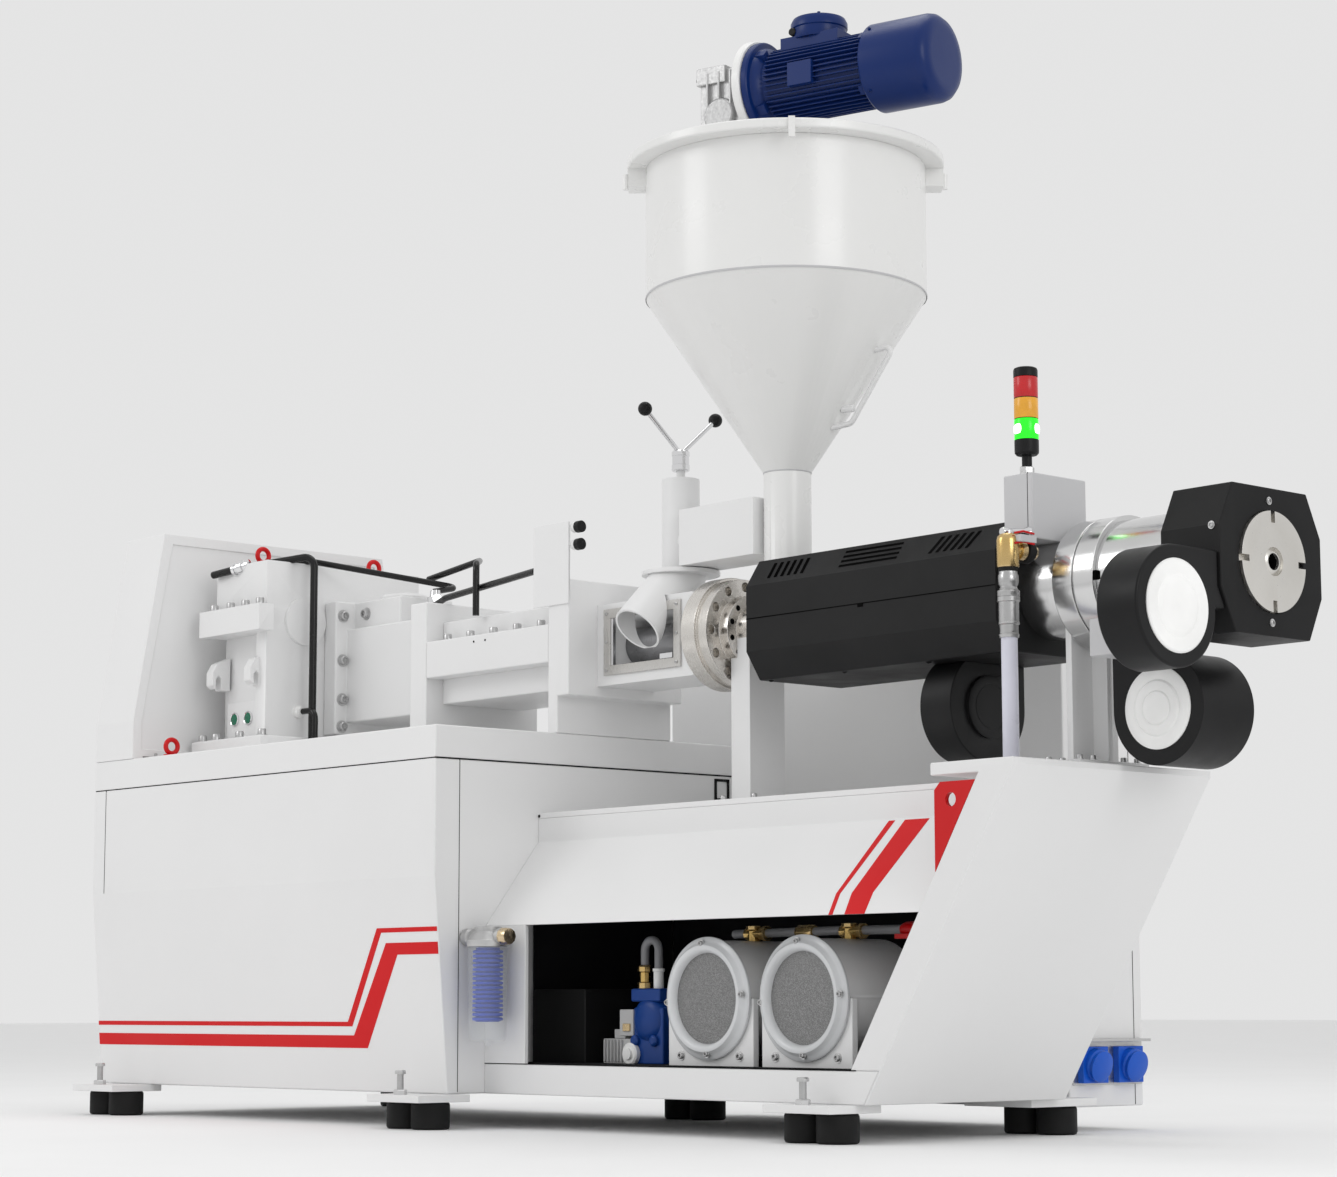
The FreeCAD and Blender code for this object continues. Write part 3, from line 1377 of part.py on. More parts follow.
def base_equipment():
    """What stands in the open front of the base: filter, supply box, pump and two vessels."""
    panel_y = "(base_front - water_filter_gap - head_radius)"
    at = ("water_filter_x", panel_y)
    bowl_top = "(bowl_floor + bowl_height)"
    bowl = turned("filter_bowl", "z", at, [
        ("bowl_floor", "0"),
        ("bowl_floor", "bowl_radius"),
        (bowl_top, "bowl_radius"),
        (bowl_top, "bowl_radius - bowl_wall"),
        ("bowl_floor + bowl_wall", "bowl_radius - bowl_wall"),
        ("bowl_floor + bowl_wall", "0"),
    ])
    cartridge = rod("filter_cartridge", "z", at, "cartridge_radius", "bowl_floor + 45", bowl_top)
    head_z = f"({bowl_top} + head_height / 2)"
    head = joined(
        "filter_head",
        cartridge,
        rod("head_body", "z", at, "head_radius", bowl_top, f"{bowl_top} + head_height"),
        rod("head_ports", "x", (panel_y, head_z), "head_port_radius",
            "water_filter_x - head_port_length", "water_filter_x + head_port_length"),
        block(
            "head_bracket",
            ("water_filter_x - 18", "water_filter_x + 18"),
            (panel_y, "base_front"),
            (f"{bowl_top} + 6", f"{bowl_top} + head_height - 6"),
        ),
    )
    supply = block(
        "supply_box",
        ("supply_box_start", "supply_box_start + supply_box_length"),
        ("supply_box_y", "supply_box_y + supply_box_width"),
        (RAIL_TOP, f"{RAIL_TOP} + supply_box_height"),
    )
    pump_end = "(pump_start + pump_length)"
    pump = block(
        "pump_body", ("pump_start", pump_end), ("pump_y", "pump_y + pump_width"),
        (RAIL_TOP, f"{RAIL_TOP} + pump_height"),
    )
    pump_motor = block(
        "pump_motor",
        ("pump_start - pump_motor_length", "pump_start"),
        ("pump_y", "pump_y + pump_width"),
        (RAIL_TOP, f"{RAIL_TOP} + pump_motor_height"),
    )
    vessels = []
    screens = []
    pipes = []
    behind = "(vessel_front + vessel_plate)"
    for number in (0, 1):
        x = f"(vessel_first_x + {number} * vessel_spacing)"
        centre = (x, "vessel_z")
        ring = rod(f"screen_ring_{number + 1}", "y", centre, "screen_radius", "vessel_front - screen_ring", "vessel_front")
        opening = rod(
            f"screen_opening_{number + 1}", "y", centre, "screen_opening",
            "vessel_front - screen_ring - 1", "vessel_front - screen_mesh",
        )
        screens.append(cut(f"filter_screen_{number + 1}", ring, opening))
        plate = block(
            f"vessel_plate_{number + 1}",
            (f"{x} - vessel_plate_half_width", f"{x} + vessel_plate_half_width"),
            ("vessel_front", behind),
            (RAIL_TOP, "vessel_z"),
        )
        drum = rod(f"vessel_drum_{number + 1}", "y", centre, "vessel_radius", "vessel_front", f"{behind} + vessel_depth")
        vessels.append(joined(f"filter_vessel_{number + 1}", plate, drum))
        spot = (x, "manifold_y")
        rise = rod(
            f"vessel_riser_{number + 1}", "z", spot, "vessel_pipe_radius",
            "vessel_z + vessel_radius - 30", "manifold_z",
        )
        drum_space = rod(f"space_of_drum_{number + 1}", "y", centre, "vessel_radius", "vessel_front", f"{behind} + vessel_depth + 1")
        pipes.append(cut(f"vessel_pipe_{number + 1}", rise, drum_space))
    line = rod(
        "manifold_line", "x", ("manifold_y", "manifold_z"), "manifold_radius",
        "vessel_first_x - 60", "vessel_first_x + 2 * vessel_spacing",
    )
    return [
        bowl,
        head,
        supply,
        joined("water_pump", pump, pump_motor),
        group("filter_screens", *screens),
        group("filter_vessels", *vessels),
        joined("water_manifold", *pipes, line),
    ]


def lifting_eyes():
    """Ring bolts on the cabinet and on the gearbox."""
    places = {
        "cabinet": ("cabinet_eye_x", "cabinet_eye_y", DECK_Z),
        "gear_front": ("gear_start + gear_length / 2", "gear_centre - gear_half_width + gear_eye_inset", f"{DECK_Z} + gear_height"),
        "gear_rear": ("gear_start + gear_length / 2", "gear_centre + gear_half_width - gear_eye_inset", f"{DECK_Z} + gear_height"),
    }
    eyes = []
    for name, (x, y, z) in places.items():
        ring = doc.addObject("Part::Torus", f"{name}_eye_ring")
        ring.Placement = Placement(Vector(), TURNED_TO["x"])
        bind(ring, {"Radius1": "eye_radius", "Radius2": "eye_bar"})
        place(ring, x, y, f"{z} + eye_foot + eye_radius + eye_bar - 3")
        foot = rod(f"{name}_eye_foot", "z", (x, y), "eye_foot_radius", z, f"{z} + eye_foot")
        eyes.append(joined(f"{name}_eye", ring, foot))
    return [group("lifting_eyes", *eyes)]


nodes = (
    feet()
    + drive_cabinet()
    + drive_guard()
    + base()
    + lifting_plates()
    + control_cabinet()
    + gearbox()
    + coupling()
    + thrust_bracket()
    + feed_block()
    + feeder()
    + two_ball_lever()
    + barrel()
    + die_end()
    + blowers()
    + columns()
    + hopper()
    + mixer_drive()
    + signals_and_air()
    + base_equipment()
    + lifting_eyes()
)
doc.recompute()

for item in doc.Objects:
    if {"Invalid", "Error"} & set(item.State):
        raise RuntimeError(f"{item.Label}: {item.State}")
for node in nodes:
    if node.Shape.isNull() or not node.Shape.isValid() or not node.Shape.Solids:
        raise RuntimeError(f"{node.Label} has no sound shape")

os.makedirs("parts", exist_ok=True)
for node in nodes:
    node.Shape.exportStep(f"parts/{node.Label}.step")

whole = Part.makeCompound([node.Shape for node in nodes]).BoundBox
volume = sum(node.Shape.Volume for node in nodes)
print(f"{len(nodes)} sub-parts, {whole.XLength:.0f} x {whole.YLength:.0f} x {whole.ZLength:.0f} mm")
print(f"x {whole.XMin:.1f} to {whole.XMax:.1f}, y {whole.YMin:.1f} to {whole.YMax:.1f}, z {whole.ZMin:.1f}")
print(f"{volume / 1e9:.3f} cubic metres")
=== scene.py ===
"""Looks of the plastic extruder: finishes, bolts, pipes, stripes, fins, screens and small fittings."""
import math

import bmesh
import bpy
from mathutils import Matrix, Vector


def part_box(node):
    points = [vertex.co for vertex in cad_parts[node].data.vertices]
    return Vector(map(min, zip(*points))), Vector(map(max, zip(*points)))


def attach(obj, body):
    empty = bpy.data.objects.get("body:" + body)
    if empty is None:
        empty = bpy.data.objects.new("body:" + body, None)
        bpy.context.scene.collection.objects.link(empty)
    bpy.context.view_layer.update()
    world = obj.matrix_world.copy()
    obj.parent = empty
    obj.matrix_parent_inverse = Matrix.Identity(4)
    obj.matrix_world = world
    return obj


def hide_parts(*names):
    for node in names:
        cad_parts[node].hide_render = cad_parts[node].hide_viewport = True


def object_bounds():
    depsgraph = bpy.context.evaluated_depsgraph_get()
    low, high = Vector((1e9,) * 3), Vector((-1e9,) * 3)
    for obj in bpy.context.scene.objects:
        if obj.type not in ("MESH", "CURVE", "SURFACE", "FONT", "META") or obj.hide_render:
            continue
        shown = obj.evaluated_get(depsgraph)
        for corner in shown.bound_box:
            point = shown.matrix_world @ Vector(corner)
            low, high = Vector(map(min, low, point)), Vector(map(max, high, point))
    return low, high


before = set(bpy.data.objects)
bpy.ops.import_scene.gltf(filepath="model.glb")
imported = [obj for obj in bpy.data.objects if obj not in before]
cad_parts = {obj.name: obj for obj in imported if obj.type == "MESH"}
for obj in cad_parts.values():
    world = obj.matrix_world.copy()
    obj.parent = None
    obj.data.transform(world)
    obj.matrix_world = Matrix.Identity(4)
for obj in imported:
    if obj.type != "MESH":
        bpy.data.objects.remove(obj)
cad_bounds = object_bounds()

MM = 0.001
X, Y, Z = Vector((1, 0, 0)), Vector((0, 1, 0)), Vector((0, 0, 1))
MACHINE = "machine"
LEVER = "lever"
DATUM_X = cad_bounds[0].x
DATUM_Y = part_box("drive_cabinet")[0].y
DRUM_PITCH = 0.281
# Turns that lay local Z along X and along Y.
LIE_X = Matrix.Rotation(math.radians(90), 4, "Y")
LIE_Y = Matrix.Rotation(math.radians(90), 4, "X")


def at(x, y, z):
    """A place in metres from millimetres off the drive end, the cabinet's front face and the floor."""
    return Vector((DATUM_X + x * MM, DATUM_Y + y * MM, z * MM))


# ---------------------------------------------------------------- materials


def new_material(name):
    material = bpy.data.materials.new(name)
    material.use_nodes = True
    nodes = material.node_tree.nodes
    return material, nodes, material.node_tree.links, nodes["Principled BSDF"]


def noise(nodes, links, scale, detail=4.0, stretch=(1, 1, 1)):
    """A noise texture in object coordinates, stretched along chosen axes."""
    place = nodes.new("ShaderNodeTexCoord")
    mapping = nodes.new("ShaderNodeMapping")
    mapping.inputs["Scale"].default_value = stretch
    texture = nodes.new("ShaderNodeTexNoise")
    texture.inputs["Scale"].default_value = scale
    texture.inputs["Detail"].default_value = detail
    links.new(place.outputs["Object"], mapping.inputs["Vector"])
    links.new(mapping.outputs["Vector"], texture.inputs["Vector"])
    return texture


def spread(nodes, links, source, low, high):
    """Maps a 0 to 1 value to a range."""
    mapped = nodes.new("ShaderNodeMapRange")
    mapped.inputs["From Min"].default_value = 0.3
    mapped.inputs["From Max"].default_value = 0.7
    mapped.inputs["To Min"].default_value = low
    mapped.inputs["To Max"].default_value = high
    links.new(source, mapped.inputs["Value"])
    return mapped.outputs["Result"]


def two_tone(nodes, links, source, first, second):
    """Mixes two colours by a 0 to 1 value."""
    ramp = nodes.new("ShaderNodeValToRGB")
    ramp.color_ramp.elements[0].position = 0.3
    ramp.color_ramp.elements[1].position = 0.7
    ramp.color_ramp.elements[0].color = (*first, 1)
    ramp.color_ramp.elements[1].color = (*second, 1)
    links.new(source, ramp.inputs["Fac"])
    return ramp.outputs["Color"]


def edge_wear(nodes, links, colour, worn, amount):
    """Lightens or darkens the sharp edges, where handling rubs the finish."""
    geometry = nodes.new("ShaderNodeNewGeometry")
    ramp = nodes.new("ShaderNodeMapRange")
    ramp.inputs["From Min"].default_value = 0.53
    ramp.inputs["From Max"].default_value = 0.62
    ramp.inputs["To Max"].default_value = amount
    mix = nodes.new("ShaderNodeMix")
    mix.data_type = "RGBA"
    links.new(geometry.outputs["Pointiness"], ramp.inputs["Value"])
    links.new(ramp.outputs["Result"], mix.inputs["Factor"])
    links.new(colour, mix.inputs["A"])
    mix.inputs["B"].default_value = (*worn, 1)
    return mix.outputs["Result"]


def bump(nodes, links, shader, height, strength, distance=0.0005):
    node = nodes.new("ShaderNodeBump")
    node.inputs["Strength"].default_value = strength
    node.inputs["Distance"].default_value = distance
    links.new(height, node.inputs["Height"])
    links.new(node.outputs["Normal"], shader.inputs["Normal"])


def smear(nodes, links, shader, roughness, scale, detail):
    """Varies the roughness a little, as wiping and handling do."""
    smears = noise(nodes, links, scale, detail)
    varied = spread(nodes, links, smears.outputs["Fac"], roughness * 0.85, roughness * 1.15)
    links.new(varied, shader.inputs["Roughness"])


def coated(name, colour, roughness, peel=0.05, grain=700, worn=None, coat=0.0, shine=0.5):
    """Powder coat or enamel: faint tone changes, orange peel and slightly rubbed edges."""
    material, nodes, links, shader = new_material(name)
    soil = noise(nodes, links, 2.2, 5)
    dark = tuple(part * 0.965 for part in colour)
    tone = two_tone(nodes, links, soil.outputs["Fac"], dark, colour)
    rubbed = worn or tuple(min(1, part * 1.06 + 0.01) for part in colour)
    links.new(edge_wear(nodes, links, tone, rubbed, 0.5), shader.inputs["Base Color"])
    smear(nodes, links, shader, roughness, 9, 6)
    shader.inputs["Specular IOR Level"].default_value = shine
    shader.inputs["Coat Weight"].default_value = coat
    shader.inputs["Coat Roughness"].default_value = 0.15
    bump(nodes, links, shader, noise(nodes, links, grain, 2).outputs["Fac"], peel)
    return material


def machined(name, colour, roughness, stretch=(1, 1, 1), scale=60, groove=0.06):
    """Bare metal with tool marks drawn out along the unstretched axes."""
    material, nodes, links, shader = new_material(name)
    marks = noise(nodes, links, scale, 8, stretch)
    stains = noise(nodes, links, 6, 5)
    dark = tuple(part * 0.90 for part in colour)
    tone = two_tone(nodes, links, stains.outputs["Fac"], dark, colour)
    links.new(edge_wear(nodes, links, tone, (0.9, 0.9, 0.9), 0.4), shader.inputs["Base Color"])
    shader.inputs["Metallic"].default_value = 1
    links.new(
        spread(nodes, links, marks.outputs["Fac"], roughness * 0.75, roughness * 1.3),
        shader.inputs["Roughness"],
    )
    bump(nodes, links, shader, marks.outputs["Fac"], groove)
    return material


def moulded(name, colour, roughness, grain=900, strength=0.12, shine=0.5):
    """Plastic or rubber with a fine moulded grain."""
    material, nodes, links, shader = new_material(name)
    shader.inputs["Specular IOR Level"].default_value = shine
    soil = noise(nodes, links, 5, 4)
    light = tuple(min(1, part * 1.25 + 0.004) for part in colour)
    links.new(two_tone(nodes, links, soil.outputs["Fac"], colour, light), shader.inputs["Base Color"])
    smear(nodes, links, shader, roughness, 14, 4)
    bump(nodes, links, shader, noise(nodes, links, grain, 2).outputs["Fac"], strength)
    return material


def lens(name, colour, glow=0.0):
    """A ribbed lamp lens: its glow is the lamp's own light where it is lit, and a faint painted glow on the
    unlit lenses.
    """
    material, nodes, links, shader = new_material(name)
    mottled = noise(nodes, links, 30, 3)
    dark = tuple(part * 0.8 for part in colour)
    links.new(two_tone(nodes, links, mottled.outputs["Fac"], dark, colour), shader.inputs["Base Color"])
    shader.inputs["Roughness"].default_value = 0.25
    shader.inputs["Emission Color"].default_value = (*colour, 1)
    shader.inputs["Emission Strength"].default_value = glow
    return material


def clear(name, colour, alpha, roughness=0.08):
    """Clear moulded plastic, thin enough to read as tinted film."""
    material, nodes, links, shader = new_material(name)
    haze = noise(nodes, links, 20, 3)
    links.new(
        spread(nodes, links, haze.outputs["Fac"], roughness, roughness * 2),
        shader.inputs["Roughness"],
    )
    shader.inputs["Base Color"].default_value = (*colour, 1)
    shader.inputs["Alpha"].default_value = alpha
    shader.inputs["IOR"].default_value = 1.49
    return material


def woven_mesh(name):
    """Fine steel gauze with its gaps painted dark as the shade of the unlit space behind it."""
    material, nodes, links, shader = new_material(name)
    place = nodes.new("ShaderNodeTexCoord")
    cells = nodes.new("ShaderNodeTexVoronoi")
    cells.inputs["Scale"].default_value = 620
    links.new(place.outputs["Object"], cells.inputs["Vector"])
    # The darker tone between the wires is painted shade.
    links.new(
        two_tone(nodes, links, cells.outputs["Distance"], (0.13, 0.13, 0.13), (0.30, 0.30, 0.30)),
        shader.inputs["Base Color"],
    )
    shader.inputs["Metallic"].default_value = 0.4
    shader.inputs["Roughness"].default_value = 0.55
    bump(nodes, links, shader, cells.outputs["Distance"], 0.6)
    return material


WHITE = coated("white_powder_coat", (0.80, 0.80, 0.80), 0.36, peel=0.04)
SHELL_WHITE = coated("hopper_white_enamel", (0.82, 0.82, 0.81), 0.30, peel=0.03, coat=0.2)
GREY = coated("grey_satin_paint", (0.55, 0.55, 0.56), 0.42)
BLACK = coated(
    "black_fine_texture_paint",
    (0.006, 0.006, 0.0065),
    0.5,
    peel=0.12,
    grain=1200,
    worn=(0.03, 0.03, 0.03),
    shine=0.18,
)
RED = coated("signal_red_enamel", (0.58, 0.004, 0.006), 0.30, coat=0.1, shine=0.25)
STRIPE = coated("livery_red_film", (0.62, 0.005, 0.008), 0.45, peel=0.02, shine=0.15)
BLUE = coated("motor_blue_enamel", (0.002, 0.020, 0.125), 0.34, peel=0.1, grain=350, coat=0.05, shine=0.25)
PUMP_BLUE = coated("pump_blue_enamel", (0.003, 0.045, 0.24), 0.35, peel=0.15, grain=300, shine=0.3)
STEEL = machined("turned_steel", (0.60, 0.585, 0.56), 0.30, stretch=(14, 1, 1))
WARM_STEEL = machined("ground_flange_steel", (0.74, 0.71, 0.67), 0.26, stretch=(10, 1, 1))
BRIGHT_STEEL = machined("polished_adapter_steel", (0.70, 0.70, 0.70), 0.17, stretch=(10, 1, 1), groove=0.03)
DIE_STEEL = machined("lapped_die_steel", (0.72, 0.70, 0.66), 0.36, scale=90, groove=0.03)
DARK_STEEL = machined("nitrided_screw_steel", (0.10, 0.10, 0.11), 0.33, stretch=(8, 1, 1))
CHROME = machined("polished_chrome", (0.78, 0.78, 0.79), 0.10, groove=0.01)
ZINC = machined("zinc_plated_bolts", (0.50, 0.50, 0.50), 0.34, scale=160)
CAST = machined("cast_aluminium", (0.50, 0.50, 0.50), 0.45, scale=220, groove=0.25)
BRASS = machined("machined_brass", (0.66, 0.45, 0.16), 0.24, scale=120)
RUBBER = moulded("mount_rubber", (0.008, 0.008, 0.008), 0.62, shine=0.2)
BLACK_PLASTIC = moulded("black_moulded_plastic", (0.006, 0.006, 0.0065), 0.42, shine=0.2)
PIPE_BLACK = moulded("black_pipe_sleeve", (0.006, 0.006, 0.006), 0.25, strength=0.04, shine=0.3)
WHITE_PLASTIC = moulded("white_moulded_plastic", (0.78, 0.78, 0.77), 0.38, strength=0.05)
GREY_PLASTIC = moulded("grey_moulded_plastic", (0.42, 0.42, 0.42), 0.42)
BLUE_PLASTIC = moulded("blue_socket_plastic", (0.004, 0.085, 0.50), 0.32, strength=0.05, shine=0.35)
CARTRIDGE = moulded("blue_pleated_cartridge", (0.004, 0.045, 0.42), 0.5, shine=0.2)
HOSE = moulded("milky_hose", (0.60, 0.60, 0.68), 0.30, grain=300, strength=0.05)
GREY_HOSE = moulded("grey_hose", (0.22, 0.22, 0.23), 0.35, strength=0.05)
# Matt near-black sheet: painted shade for the unlit inside of the base.
SHADE_SHEET = moulded("painted_shade_sheet", (0.010, 0.010, 0.011), 0.7, shine=0.1)
GASKET = moulded("dark_gasket", (0.03, 0.03, 0.03), 0.6)
# Near-black paint with no shine: dark joints along the seams, and painted shade inside slots, holes, bores
# and outlets.
JOINT_AND_SHADE_BLACK = moulded("vent_shadow", (0.002, 0.002, 0.002), 0.9, shine=0.0)
GREEN_GLASS = lens("green_sight_glass", (0.0, 0.16, 0.08))
# The red and amber lamps are not lit; their small emission is a painted glow.
LAMP_RED = lens("red_lamp_lens", (0.50, 0.012, 0.016), 0.12)
LAMP_AMBER = lens("amber_lamp_lens", (0.75, 0.36, 0.03), 0.18)
LAMP_GREEN = lens("green_lamp_lens", (0.01, 0.85, 0.01), 1.1)
LAMP_CORE = lens("lit_lamp_core", (0.85, 1.0, 0.80), 3.0)
BOWL = clear("clear_filter_bowl", (0.80, 0.84, 0.86), 0.10)
RING = moulded("milky_ring_plastic", (0.56, 0.57, 0.58), 0.20, strength=0.02)
GAUZE = woven_mesh("steel_gauze")


# ---------------------------------------------------------------- mesh helpers


def aim(place, direction):
    """A matrix that stands local Z along a direction at a place."""
    turn = Vector(direction).to_track_quat("Z", "Y").to_matrix().to_4x4()
    return Matrix.Translation(place) @ turn


def lathe(mesh, profile, matrix, segments=40):
    """Turns (radius, height) points in millimetres about local Z; radius 0 closes an end."""
    rings = []
    for radius, height in profile:
        count = 1 if radius == 0 else segments
        rings.append([
            mesh.verts.new(matrix @ Vector((
                radius * MM * math.cos(math.tau * step / segments),
                radius * MM * math.sin(math.tau * step / segments),
                height * MM,
            )))
            for step in range(count)
        ])
    for low, high in zip(rings, rings[1:]):
        for step in range(segments):
            after = step + 1
            corners = [
                low[step % len(low)],
                low[after % len(low)],
                high[after % len(high)],
                high[step % len(high)],
            ]
            face = list(dict.fromkeys(corners))
            if len(face) > 2:
                mesh.faces.new(face)


def slab(mesh, low, high, matrix=None):
    """A box between two corners in metres."""
    corners = [
        mesh.verts.new((matrix or Matrix.Identity(4)) @ Vector((x, y, z)))
        for x in (low[0], high[0])
        for y in (low[1], high[1])
        for z in (low[2], high[2])
    ]
    for face in ((0, 1, 3, 2), (4, 6, 7, 5), (0, 4, 5, 1), (2, 3, 7, 6), (0, 2, 6, 4), (1, 5, 7, 3)):
        mesh.faces.new([corners[index] for index in face])


def plate(mesh, outline, depth):
    """A flat plate: outline points in metres, thickened by a depth vector."""
    front = [mesh.verts.new(point) for point in outline]
    back = [mesh.verts.new(Vector(point) + depth) for point in outline]
    mesh.faces.new(front)
    mesh.faces.new(list(reversed(back)))
    for step in range(len(front)):
        after = (step + 1) % len(front)
        mesh.faces.new([front[step], back[step], back[after], front[after]])


def finished(name, mesh, material, body=MACHINE, bevel=0.0, replaces=(), sharp=35):
    """A piece from mesh code: cleaned, bevelled, smooth-shaded and riding on its body."""
    bmesh.ops.recalc_face_normals(mesh, faces=mesh.faces)
    data = bpy.data.meshes.new(name)
    mesh.to_mesh(data)
    mesh.free()
    piece = bpy.data.objects.new(name, data)
    bpy.context.scene.collection.objects.link(piece)
    data.materials.append(material)
    data.shade_smooth()
    data.set_sharp_from_angle(angle=math.radians(sharp))
    if bevel:
        rounding = piece.modifiers.new("edges", "BEVEL")
        rounding.width = bevel * MM
        rounding.segments = 2
        rounding.limit_method = "ANGLE"
        rounding.angle_limit = math.radians(sharp)
        rounding.harden_normals = True
        rounding.use_clamp_overlap = True
    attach(piece, body)
    if replaces:
        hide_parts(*replaces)
    return piece


# Sub-parts whose niches and windows keep the CAD mesh, because merged faces would close over them.
AS_MESHED = ("gearbox_case", "feed_block")


def skin(node, material, bevel=2.0, body=MACHINE):
    """A sub-part's own shape with its edges rounded as the real sheet or casting has them."""
    mesh = bmesh.new()
    mesh.from_mesh(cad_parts[node].data)
    bmesh.ops.remove_doubles(mesh, verts=mesh.verts, dist=0.00002)
    if node not in AS_MESHED:
        bmesh.ops.dissolve_limit(mesh, angle_limit=math.radians(0.6), verts=mesh.verts, edges=mesh.edges)
    return finished(node + "_skin", mesh, material, body, bevel, (node,))


def cap_screws(name, places, radius=8.0, height=12.0, material=None, washer=True):
    """Socket-head screws, each given as a place and the direction that its head points."""
    mesh = bmesh.new()
    for place, direction in places:
        stand = aim(place, direction)
        if washer:
            lathe(mesh, [(0, 0), (radius * 1.45, 0), (radius * 1.45, 1.6), (0, 1.6)], stand, 24)
        lathe(mesh, [
            (radius, 0),
            (radius, height * 0.86),
            (radius * 0.86, height),
            (radius * 0.60, height),
        ], stand, 24)
        lathe(mesh, [
            (radius * 0.60, height),
            (radius * 0.54, height * 0.97),
            (radius * 0.54, height * 0.5),
            (0, height * 0.5),
        ], stand, 6)
    return finished(name, mesh, material or ZINC)


def tube(name, route, radius, bend, material, replaces=()):
    """A rigid bent pipe through places in metres; bend is its corner radius in millimetres."""
    points = [route[0]]
    for before, corner, after in zip(route, route[1:], route[2:]):
        come = (before - corner).normalized()
        go = (after - corner).normalized()
        half = come.angle(go) / 2
        reach = min(bend * MM / math.tan(half), 0.48 * min((before - corner).length, (after - corner).length))
        arc = reach * math.tan(half)
        centre = corner + (come + go).normalized() * (arc / math.sin(half))
        start = corner + come * reach - centre
        stop = corner + go * reach - centre
        for step in range(9):
            points.append(centre + start.normalized().slerp(stop.normalized(), step / 8) * arc)
    points.append(route[-1])
    curve = bpy.data.curves.new(name, "CURVE")
    curve.dimensions = "3D"
    curve.bevel_depth = radius * MM
    curve.bevel_resolution = 6
    curve.use_fill_caps = True
    spline = curve.splines.new("POLY")
    spline.points.add(len(points) - 1)
    for spot, point in zip(spline.points, points):
        spot.co = (*point, 1)
    curve.materials.append(material)
    piece = bpy.data.objects.new(name, curve)
    bpy.context.scene.collection.objects.link(piece)
    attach(piece, MACHINE)
    if replaces:
        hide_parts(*replaces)
    return piece


# ---------------------------------------------------------------- sub-parts with their own shape

SKINS = {
    WHITE: {
        "foot_plates": 1.5, "drive_cabinet": 4, "cabinet_cap": 4, "drive_guard": 5, "base_frame": 3,
        "hood_front": 2, "hood_top": 1.5, "base_panels": 1.5, "end_cover": 2.5, "control_cabinet": 4,
        "cabinet_shelf": 3, "gearbox_foot": 4, "gearbox_case": 5, "coupling_guard": 5,
        "bracket_drive_plate": 4, "bracket_screw_plate": 4, "bracket_beams": 4, "thrust_block": 4,
        "gauge_plate": 1, "feed_block": 7, "feeder_column": 2, "discharge_chute": 1.2, "feeder_box": 3,
        "barrel_columns": 2, "filter_vessels": 2,
    },
    SHELL_WHITE: {
        "hopper_pipe": 1, "hopper_cone": 1, "hopper_shell": 1, "hopper_lid": 5, "lid_fittings": 1.2,
    },
    RED: {"lifting_plates": 1.5, "lifting_eyes": 1},
    BLACK: {"barrel_cover": 3, "die_cover": 2.5, "supply_box": 3},
    BLACK_PLASTIC: {"barrel_blower": 6, "side_blower": 7, "lower_blower": 7},
    GREY: {"junction_box": 3, "blower_bracket": 1.5},
    STEEL: {"window_frame": 1.5},
    DARK_STEEL: {"extruder_screw": 0},
    WARM_STEEL: {"barrel": 2},
    BRIGHT_STEEL: {"die_adapter": 2, "clamp_rings": 3},
    DIE_STEEL: {"die_plate": 1.2},
    RUBBER: {"rubber_mounts": 6},
}


def skins():
    for material, nodes in SKINS.items():
        for node, bevel in nodes.items():
            skin(node, material, bevel)


# ---------------------------------------------------------------- camera, floor and light


def stage():
    """A pale floor, soft studio light and the camera low at the die end, looking slightly up."""
    mesh = bmesh.new()
    slab(mesh, (-40, -40, -0.02), (40, 40, 0))
    data = bpy.data.meshes.new("studio_floor")
    mesh.to_mesh(data)
    mesh.free()
    floor = bpy.data.objects.new("studio_floor", data)
    bpy.context.scene.collection.objects.link(floor)
    data.materials.append(
        coated("pale_floor", (0.88, 0.88, 0.88), 0.75, peel=0.0, worn=(0.88, 0.88, 0.88), shine=0.2)
    )
    world = bpy.data.worlds.new("studio")
    bpy.context.scene.world = world
    world.use_nodes = True
    world.node_tree.nodes["Background"].inputs["Color"].default_value = (1, 1, 1, 1)
    world.node_tree.nodes["Background"].inputs["Strength"].default_value = 0.78
    for name, place, size, power in (
        ("key_light", (-3.0, -5.5, 4.6), 2.6, 70),
        ("end_light", (6.5, -1.0, 3.2), 2.4, 60),
        ("top_light", (0.0, 0.5, 6.0), 3.0, 55),
    ):
        lamp = bpy.data.lights.new(name, "AREA")
        lamp.size = size
        lamp.energy = power
        light = bpy.data.objects.new(name, lamp)
        light.location = place
        light.rotation_mode = "QUATERNION"
        light.rotation_quaternion = (Vector((0, 0, 0.9)) - Vector(place)).to_track_quat("-Z", "Y")
        bpy.context.scene.collection.objects.link(light)
    lens_data = bpy.data.cameras.new("camera")
    lens_data.sensor_width = 36
    lens_data.lens = 82.14
    lens_data.clip_end = 200
    camera = bpy.data.objects.new("camera", lens_data)
    camera.location = at(6731.5, -4023.3, 261.2)
    azimuth, rise, roll = math.radians(48.474), math.radians(7.80), math.radians(0.097)
    forward = Vector(
        (-math.sin(azimuth) * math.cos(rise), math.cos(azimuth) * math.cos(rise), math.sin(rise))
    )
    camera.rotation_mode = "QUATERNION"
    camera.rotation_quaternion = (
        Matrix.Rotation(roll, 4, forward) @ forward.to_track_quat("-Z", "Y").to_matrix().to_4x4()
    ).to_quaternion()
    bpy.context.scene.collection.objects.link(camera)
    bpy.context.scene.camera = camera
    bpy.context.scene.view_settings.view_transform = "Standard"


# ---------------------------------------------------------------- feet, cabinets and base


